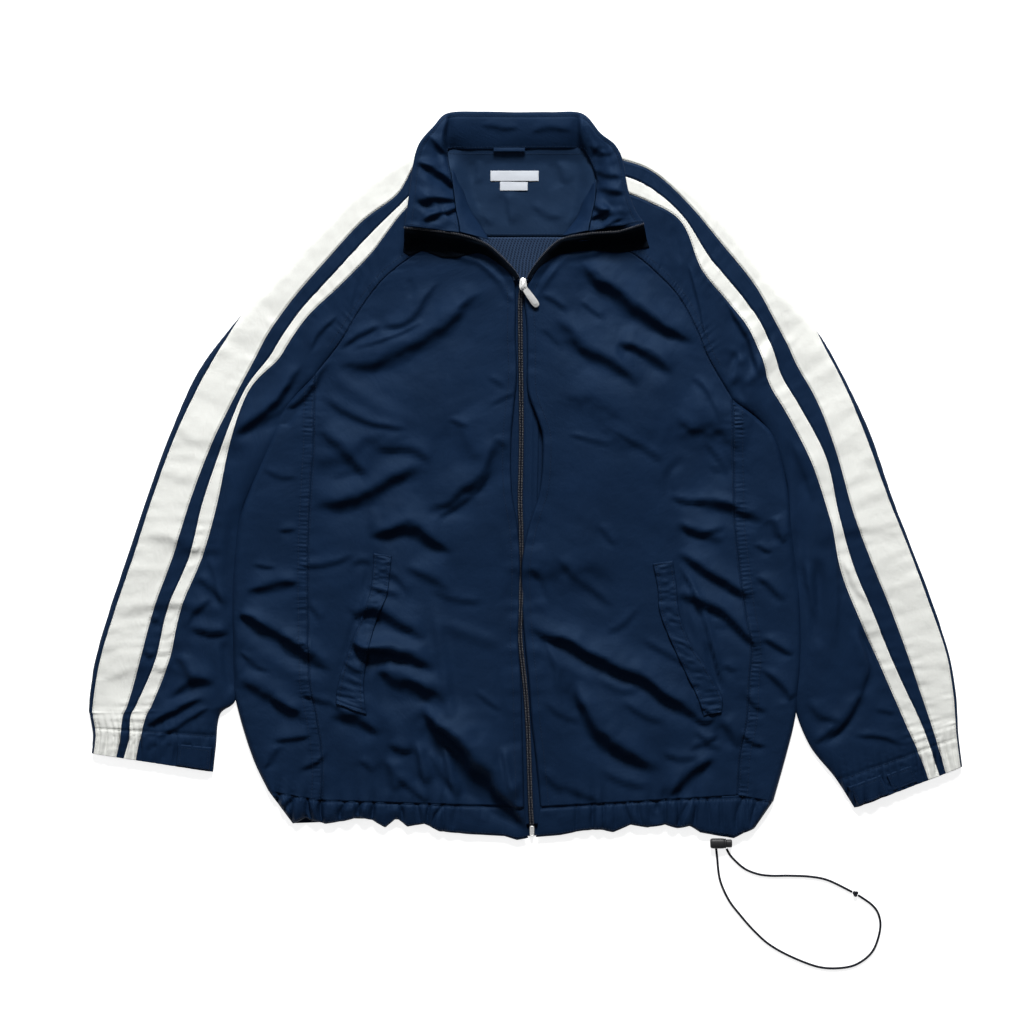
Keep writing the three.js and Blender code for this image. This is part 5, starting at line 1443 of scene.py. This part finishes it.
def make_collar():
    last = len(COLLAR_ROWS["seamX"]) - 1
    row = even(0, last, 560, 2.0)
    across = np.concatenate([[0, 0.02, 0.05], np.linspace(0.08, 0.9, 22), [0.93, 0.96, 0.985, 1.0]])
    value = {name: along(COLLAR_ROWS, name, row)[:, None] for name in COLLAR_ROWS}
    share = across[None, :]
    x = mix(value["seamX"], value["topX"], share)
    y = mix(value["seamY"], value["topY"], share)
    back = ease(4.5, 6.5, row)[:, None] * (1 - ease(9.5, 11.5, row)[:, None])
    climb = mix(share, 1 - (1 - share) ** 2, back)
    z = mix(value["seamZ"] + 0.8 + COLLAR_THICKNESS, value["topZ"], climb)
    z = z + value["belly"] * np.sin(np.pi * share)
    run = np.repeat(row[:, None] * 35, len(across), axis=1)
    up = share * 45
    wing = 1 - ease(4.2, 6, row)[:, None] * (1 - ease(10, 11.8, row)[:, None])
    crumple = 1.6 * noise(run / 26, up / 13, 21) + 0.8 * noise(run / 11, up / 8, 22)
    stitch = -0.5 * np.exp(-(((1 - share) * 45 - 6) / 0.9) ** 2)
    rim = -0.8 * (1 - rounded((1 - share) * 45, 2.2))
    crumple += 0.9 * noise(run / 15, up / 24, 23)
    for line, height, reach in COLLAR_LINES:
        z = z + fold_relief(line, height, reach, x, y)
    quiet = 0.5 * noise(run / 40, up / 16, 29)
    z = z + (crumple * wing + quiet) * np.sin(np.pi * np.clip(share, 0.04, 1)) + stitch + rim
    grid = np.stack([x, y, z], -1)
    piece = shell("collar_cloth", grid, navy, thickness=COLLAR_THICKNESS)
    distance = (1 - share) * 45 + 0 * x
    lines = [line_at(grid, distance, wanted) for wanted in (5.6, 42.5)]
    for end in (3, -4):
        lines.append(grid[end])
    sewn = [stitches("collar_stitches", lines, navy_thread)]
    finish_cloth(
        piece, ["collar"],
    )


def make_facing(side):
    rows = FACING_ROWS[side]
    last = len(rows["seamX"]) - 1
    row = even(0, last, 72, 1.8)
    share = np.linspace(0, 1, 16)[None, :]
    value = {name: along(rows, name, row)[:, None] for name in rows}
    x = mix(value["seamX"], value["rollX"], share)
    y = mix(value["seamY"], value["rollY"], share)
    z = mix(value["seamZ"], value["rollZ"], share) + 1.5 * np.sin(np.pi * share)
    z = z + 0.5 * noise(row[:, None] * 2.2, share * 2, 25) * np.sin(np.pi * share)
    piece = shell(f"facing_{side}_cloth", np.stack([x, y, z], -1), navy)
    finish_cloth(piece, [f"facing_{side}"])


def flat_rows(rows, y, share):
    left = np.interp(-y, -rows["y"], rows["leftX"])
    right = np.interp(-y, -rows["y"], rows["rightX"])
    return mix(left, right, share)


def make_yoke():
    y = np.linspace(347, 251, 48)[:, None]
    share = np.linspace(0, 1, 66)[None, :]
    x = flat_rows(YOKE_ROWS, y, share)
    y = y + 0 * x
    z = 2.8 + 0.5 * noise(x / 22, y / 30, 31) + 0.25 * noise(x / 9, y / 12, 32)
    for line, height, reach in YOKE_LINES:
        z = z + fold_relief(line, height, reach, x, y)
    inward = np.minimum(share, 1 - share) * 150
    z = z + 9 * (1 - ease(4, 22, inward)) * ease(258, 280, y) * (1 - ease(318, 345, y))
    z = z + 4.0 * (1 - ease(2, 22, 347 - y))
    grid = np.stack([x, y, z], -1)
    piece = shell("inner_yoke_cloth", grid, lining, thickness=0.8)
    foot = line_at(grid.transpose(1, 0, 2), (y - y.min()).T, 2.2)
    head = line_at(grid.transpose(1, 0, 2), (y - y.min()).T, 86)
    sewn = [stitches("inner_yoke_stitches", [foot, head], navy_thread)]
    finish_cloth(
        piece, ["inner_yoke"],
    )


def make_lining():
    y = np.linspace(250, 195, 30)[:, None]
    share = np.linspace(0, 1, 44)[None, :]
    x = flat_rows(LINING_ROWS, y, share)
    y = y + 0 * x
    z = 2.4 + 0.3 * noise(x / 16, y / 14, 33)
    piece = shell("mesh_lining_knit", np.stack([x, y, z], -1), mesh_knit, thickness=0.5)
    finish_cloth(piece, ["mesh_lining"])


def small_sheet(name, node, middle, size, level, material, thickness=0.35, curl=0.6):
    """Small rectangle of cloth with a slight curl."""
    x = middle[0] + np.linspace(-0.5, 0.5, 40)[None, :] * size[0]
    y = middle[1] + np.linspace(0.5, -0.5, 14)[:, None] * size[1]
    x, y = np.broadcast_arrays(x, y)
    z = level + curl * (0.5 + 0.5 * noise(x / 14, y / 18, 35)) * ease(0, size[1] * 0.6, middle[1] + size[1] / 2 - y)
    piece = shell(name, np.stack([x, y, z], -1), material, thickness=thickness)
    finish_cloth(piece, [node])


def make_labels():
    small_sheet(
        "neck_label_satin", "neck_label", (-11.5, 314), (50.6, 11), 3.5, satin,
    )
    small_sheet(
        "size_label_satin", "size_label", (-12.3, 303.3), (29, 9.4), 3.3, satin,
    )
    small_sheet(
        "hang_loop_tape", "hang_loop", (-17, 341), (33, 4), 9.2, navy,
        thickness=0.9,
    )


# Zip

def zip_line(side, low=None, high=None, step=2.0):
    """Points along one half of the zip an even step apart, between two heights on the plan."""
    rows = ZIP_ROWS[side]
    row = np.linspace(0, len(rows["x"]) - 1, 1400)
    line = np.stack([along(rows, name, row) for name in "xyz"], -1)
    start = np.argmax(line[:, 1] <= (1000 if high is None else high))
    line = line[start:]
    if low is not None:
        line = line[line[:, 1] >= low]
    return spaced(line, step)


def outward(line, side):
    """Level direction from the zip's teeth into its own half, at each point of the line."""
    ahead = np.gradient(line, axis=0)[:, :2]
    ahead /= np.linalg.norm(ahead, axis=1, keepdims=True)
    if side == "left":
        return np.stack([ahead[:, 1], -ahead[:, 0]], -1)
    return np.stack([-ahead[:, 1], ahead[:, 0]], -1)


def make_teeth(side):
    """Turns of the coil along one half of the zip, rounded bars across the line."""
    line = spaced(zip_line(side), TOOTH_PITCH)
    out = outward(line, side)
    ahead = np.gradient(line, axis=0)
    ahead /= np.linalg.norm(ahead, axis=1, keepdims=True)
    across = np.concatenate([out, np.zeros((len(line), 1))], axis=1)
    up = np.array([0.0, 0.0, 1.0])
    rings = []
    for shift, size in ((-1.5, 0.45), (-1.2, 0.9), (0.5, 1.0), (0.9, 0.5)):
        for angle in np.arange(6) * np.pi / 3 + 0.4:
            rings.append(
                line + across * shift + ahead * 0.62 * size * math.cos(angle) + up * (0.95 * size * math.sin(angle) + 0.3)
            )
    points = np.stack(rings, 1)
    faces = []
    for ring in range(3):
        for corner in range(6):
            after = (corner + 1) % 6
            faces.append((ring * 6 + corner, ring * 6 + after, ring * 6 + 6 + after, ring * 6 + 6 + corner))
    if side == "right":
        faces = [face[::-1] for face in faces]
    faces = (np.array(faces)[None] + 24 * np.arange(len(line))[:, None, None]).reshape(-1, 4)
    piece = mesh_piece(f"zip_{side}_teeth", points.reshape(-1, 3), faces, coil)
    return finish_piece(piece, [f"zip_{side}"])


def make_tape(side):
    """Woven zip band of one half: over the cloth along the open neck, under the front's edge below the slider. The
    upper part is near black and widened: the zip's own dark colour, deepened and stretched as painted shade below the
    collar's open edges.
    """
    for name, low, high in (("upper", 205.5, None), ("lower", -366, 206)):
        line = zip_line(side, low, high)
        out = outward(line, side)
        share = np.linspace(0, 1, 13)[None, :]
        if name == "upper":
            width = np.interp(line[:, :1], TAPE_PLACES, TAPE_AND_SHADE_WIDTHS)
        else:
            width = LOWER_TAPE_WIDTH
        inward = 0.6 if name == "upper" else 1.6
        x = line[:, :1] + out[:, :1] * (share * width - inward)
        y = line[:, 1:2] + out[:, 1:2] * (share * width - inward)
        if name == "upper":
            hang = mix(line[:, 2:3] - 0.8, 9.0, ease(0.1, 0.7, share))
            fold = 0.5 * noise(x / 15, y / 15, 43) * share
            z = np.maximum(hang + fold, cloth_height(x, y) + 0.9)
        else:
            gap = share * width
            roll = np.exp(-(((gap - 5.5) / 1.7) ** 2)) + np.exp(-(((gap - 10.5) / 2.2) ** 2))
            z = line[:, 2:3] - 1.9 + 1.2 * roll + 0 * x
        # Upper part near black: painted shade over the front below the collar's open edges, on the zip's own dark
        # colour
        material = tape_and_painted_shade if name == "upper" else navy
        piece = shell(f"zip_{side}_tape_{name}", np.stack([x, y, z], -1), material, thickness=0.6)
        finish_piece(piece)


def blended_rings(name, rings, material, closed=True):
    """A smooth solid through rings of the same number of points, with flat ends unless it closes on itself."""
    count = len(rings[0])
    points = np.concatenate(rings)
    faces = []
    last = len(rings) if closed else len(rings) - 1
    for ring in range(last):
        below, above = ring * count, (ring + 1) % len(rings) * count
        for corner in range(count):
            after = (corner + 1) % count
            faces.append([below + corner, below + after, above + after, above + corner])
    if not closed:
        faces.append(list(range(count))[::-1])
        faces.append([(len(rings) - 1) * count + corner for corner in range(count)])
    mesh = bpy.data.meshes.new(name)
    mesh.from_pydata((points * MM).tolist(), [], faces)
    mesh.polygons.foreach_set("use_smooth", [True] * len(mesh.polygons))
    mesh.materials.append(material)
    mesh.update()
    piece = bpy.data.objects.new(name, mesh)
    bpy.context.scene.collection.objects.link(piece)
    edges = piece.modifiers.new("crisp", "EDGE_SPLIT")
    edges.split_angle = math.radians(38)
    return piece


def pebble(length, width, power=3.2, count=48):
    """Outline of a rounded rectangle about the origin."""
    angle = np.arange(count) * 2 * np.pi / count
    x = np.sign(np.cos(angle)) * np.abs(np.cos(angle)) ** (2 / power) * width / 2
    y = np.sign(np.sin(angle)) * np.abs(np.sin(angle)) ** (2 / power) * length / 2
    return np.stack([x, y], -1)


def stacked(outline, levels, middle):
    """Rings of an outline at levels, each with its height and inset, moved to a middle."""
    rings = []
    size = np.abs(outline).max(axis=0)
    for level, inset in levels:
        ring = outline * (1 - inset / size)
        rings.append(np.concatenate([ring, np.full((len(ring), 1), float(level))], axis=1) + np.array(middle))
    return rings


def make_slider():
    """Slider: a waisted body with two shoulders, and the bridge that holds the pull."""
    x, y, z = SLIDER_PLACE
    outline = pebble(SLIDER_LENGTH, SLIDER_WIDTH, 2.6)
    along_body = outline[:, 1] / SLIDER_LENGTH + 0.5
    outline[:, 0] *= 0.72 + 0.28 * along_body + 0.10 * np.sin(2 * np.pi * along_body)
    levels = [(0, 0.5), (0.3, 0.1), (1.0, 0), (1.0, 1.1), (1.9, 1.1), (1.9, 0), (2.6, 0.1), (3.0, 0.7), (3.15, 2.4)]
    body = blended_rings("slider_body", stacked(outline, levels, (x, y, z)), nickel, closed=False)
    finish_piece(body, ["slider"])
    bridge_line = []
    for angle in np.linspace(0, np.pi, 15):
        lift = 3.4 * math.sin(angle) ** 0.6 if 0 < angle < np.pi else 0
        bridge_line.append((x, y + 4.6 * math.cos(angle) - 1.2, z + 3.0 + lift))
    rings = []
    for px, py, pz in bridge_line:
        ring = pebble(1.5, 2.6, 3, 16)
        lean = (py - y + 1.2) / 4.6
        rings.append(np.stack([
            px + ring[:, 0], py + ring[:, 1] * lean * 0.9, pz + ring[:, 1] * math.sqrt(max(0.0, 1 - lean * lean)),
        ], -1))
    bridge = blended_rings("slider_bridge", rings, nickel, closed=False)
    finish_piece(bridge)


def make_pull():
    """Pull tab: a flat bar with a slot at its hinge, a thick rim and a plain raised face."""
    hinge = np.array(PULL_HINGE)
    run = np.array([*PULL_RUN, 0.0])
    run /= np.linalg.norm(run)
    run = run * math.cos(PULL_DROP) - np.array([0, 0, math.sin(PULL_DROP)])
    across = np.cross([0.0, 0.0, 1.0], run)
    across /= np.linalg.norm(across)
    up = np.cross(run, across)
    outer = pebble(PULL_LENGTH, PULL_WIDTH, 3.6, 64)
    taper = 1 - 0.22 * ease(-0.5, 0.5, -outer[:, 1] / PULL_LENGTH)
    outer[:, 0] *= taper
    middle = np.array([0, PULL_LENGTH / 2 - 2.2])
    hole = pebble(3.4, 4.6, 3, 64) + np.array([0, 1.6])
    half = PULL_THICKNESS / 2

    def ring(points, level):
        return hinge + points[:, :1] * across + points[:, 1:2] * run + up * level

    def inset(amount):
        return outer * (1 - amount / np.abs(outer).max(axis=0)) + middle

    sunk = pebble(13.5, 4.4, 3.4, 64) + np.array([0, 15.5])
    rings = [
        ring(hole, -half), ring(hole, half * 0.7), ring(mix(hole, inset(1), 0.12), half),
        ring(inset(0.5), half), ring(inset(0.1), half * 0.6), ring(inset(0), 0),
        ring(inset(0.1), -half * 0.6), ring(inset(0.5), -half),
    ]
    piece = blended_rings("pull_tab_plate", rings, nickel)
    finish_piece(piece, ["pull_tab"], body="pull")
    panel = [ring(sunk, half - 0.1), ring(sunk * 1.0, half + 0.28), ring((sunk - [0, 15.5]) * 0.86 + [0, 15.5], half + 0.34)]
    raised = blended_rings("pull_tab_face", panel, nickel, closed=False)
    finish_piece(raised, body="pull")


def make_stop():
    """Bottom box of the zip with its raised rim."""
    outline = pebble(11, 5, 5)
    levels = [(-2, 0.4), (-1.7, 0), (1.2, 0), (1.8, 0.3), (2, 0.8), (1.6, 1.1), (1.5, 2.2)]
    piece = blended_rings("zip_stop_box", stacked(outline, levels, (6.7, -372.5, 5)), nickel, closed=False)
    finish_piece(piece, ["zip_stop"])


def make_lock():
    """Cord lock: a barrel with a rim and its sprung button."""
    x, y, z = LOCK_PLACE
    length, depth, height = LOCK_SIZE
    parts = (
        ("cord_lock_barrel", 15.5, depth, height, x - 3.6, ["cord_lock"]),
        ("cord_lock_button", 6.4, depth * 0.78, height * 0.78, x + 8.2, []),
        ("cord_lock_rim", 2.0, depth * 0.94, height * 0.94, x + 4.3, []),
    )
    for name, long, deep, tall, middle_x, nodes in parts:
        outline = pebble(tall, deep, 2.8, 32)
        rings = []
        for share in np.linspace(-1, 1, 17):
            size = (1 - abs(share) ** 5) ** 0.4 * 0.25 + 0.75 if abs(share) < 1 else 0.72
            ring = outline * size
            place = np.full(len(ring), middle_x + share * long / 2)
            rings.append(np.stack([place, y + ring[:, 0], z + ring[:, 1]], -1))
        finish_piece(blended_rings(name, rings, plastic, closed=False), nodes)


# Pockets

def welt_points(side, row, share, lift=0.0):
    rows = WELT_ROWS[side]
    x = mix(along(rows, "openX", row), along(rows, "stitchX", row), share)
    y = mix(along(rows, "openY", row), along(rows, "stitchY", row), share)
    return np.stack([x, y, cloth_height(x, y) + lift], -1)


def make_welt(side):
    last = len(WELT_ROWS[side]["openX"]) - 1
    row = even(0, last, 168, 1.6)
    across = np.concatenate([[0, 0.03, 0.07, 0.12], np.linspace(0.17, 0.83, 12), [0.88, 0.93, 0.97, 1]])
    grid_row = np.repeat(row[:, None], len(across), axis=1)
    share = np.repeat(across[None, :], len(row), axis=0)
    points = welt_points(side, grid_row, share, 1.5)
    edge = np.minimum(share, 1 - share) * 20
    ends = np.minimum(grid_row, last - grid_row) * 24
    near = np.minimum(edge, ends)
    points[..., 2] += 0.9 * rounded(near, 2) + 0.6 * noise(grid_row * 4.2, share * 2, 41) + 0.8 * noise(grid_row * 9, share * 3, 42) - 0.35 * np.exp(-((near - 3.2) / 0.8) ** 2)
    piece = shell(f"pocket_welt_{side}_cloth", points, navy)
    lines = [line_at(points, share * 20, wanted) for wanted in (2.6, 17.2)]
    lines += [points[2], points[-3]]
    sewn = [stitches(f"pocket_welt_{side}_stitches", lines, navy_thread)]
    finish_cloth(
        piece, [f"pocket_welt_{side}"],
    )


# Cuff tabs

def make_tab(name, side, rows, shares, flat, lift=1.2):
    sleeve = SLEEVES[side]
    row = np.linspace(rows[0], rows[1], 22)
    share = np.linspace(shares[0], shares[1], 34)
    grid_row, grid_share = np.meshgrid(row, share, indexing="ij")
    points = sleeve_points(sleeve, grid_row, grid_share)
    width = float(sleeve_width(sleeve, np.array(rows[0])))
    across = (grid_share - shares[0]) * width
    reach = (shares[1] - shares[0]) * width
    up = (grid_row - rows[0]) / (rows[1] - rows[0])
    near = np.minimum(np.minimum(across, reach - across), np.minimum(up, 1 - up) * flat[1] / MM)
    points[..., 2] += lift + 0.7 * rounded(near, 1.6) - 0.35 * np.exp(-((near - 2.6) / 0.7) ** 2)
    piece = shell(f"{name}_cloth", points, navy, thickness=1.0)
    frame_line = np.concatenate([points[3, 3:-3], points[3:-3, -4], points[-4, -4:2:-1], points[-4:2:-1, 3]])
    sewn = [stitches(f"{name}_stitches", [frame_line], navy_thread, 2.6, 1.8)]
    finish_cloth(
        piece, [name],
    )


def make_tabs():
    make_tab("cuff_tab_left", "left", (15.05, 15.9), (0.70, 0.975), (0.036, 0.022))
    make_tab("cuff_tab_right", "right", (16.3, 16.92), (0.68, 0.96), (0.034, 0.020))
    make_tab("cuff_patch_right", "right", (16.35, 16.87), (0.42, 0.64), (0.026, 0.018), 0.8)


# Floor and light

def make_stage():
    mesh = bpy.data.meshes.new("floor")
    reach = 6.0
    mesh.from_pydata([(-reach, -reach, 0), (reach, -reach, 0), (reach, reach, 0), (-reach, reach, 0)], [], [(0, 1, 2, 3)])
    floor = bpy.data.objects.new("floor", mesh)
    floor.location.z = -0.0002
    material = bpy.data.materials.new("floor")
    material.use_nodes = True
    shader = material.node_tree.nodes["Principled BSDF"]
    shader.inputs["Base Color"].default_value = (0.6, 0.6, 0.6, 1)
    shader.inputs["Roughness"].default_value = 0.9
    shader.inputs["Emission Color"].default_value = (1, 1, 1, 1)
    shader.inputs["Emission Strength"].default_value = 0.8
    mesh.materials.append(material)
    bpy.context.scene.collection.objects.link(floor)
    world = bpy.data.worlds.new("studio")
    world.use_nodes = True
    background = world.node_tree.nodes["Background"]
    background.inputs["Color"].default_value = (0.95, 0.97, 1.0, 1)
    background.inputs["Strength"].default_value = 0.13
    bpy.context.scene.world = world
    area_light("key", (0.1, 3.2, 2.3), 1.15, 335)
    area_light("fill", (-2.4, 0.6, 1.8), 1.6, 12)


def area_light(name, place, size, power):
    data = bpy.data.lights.new(name, "AREA")
    data.size = size
    data.energy = power
    light = bpy.data.objects.new(name, data)
    light.location = place
    light.rotation_euler = (-Vector(place)).to_track_quat("-Z", "Y").to_euler()
    bpy.context.scene.collection.objects.link(light)


def finish_rigid():
    """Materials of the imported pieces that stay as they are."""
    finishes = {
        "back": navy_plain, "hem_back": navy_plain,
    }
    for name, material in finishes.items():
        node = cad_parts[name]
        node.data.materials.clear()
        node.data.materials.append(material)


bpy.context.scene.view_settings.view_transform = "Standard"
make_camera()
make_cords()
make_stage()
for side in ("left", "right"):
    make_sleeve(side)
    make_front(side)
    make_side(side)
    make_hem(side)
    make_facing(side)
    make_welt(side)
    make_teeth(side)
    make_tape(side)
make_slider()
make_pull()
make_stop()
make_lock()
make_collar()
make_yoke()
make_lining()
make_labels()
make_tabs()
finish_rigid()
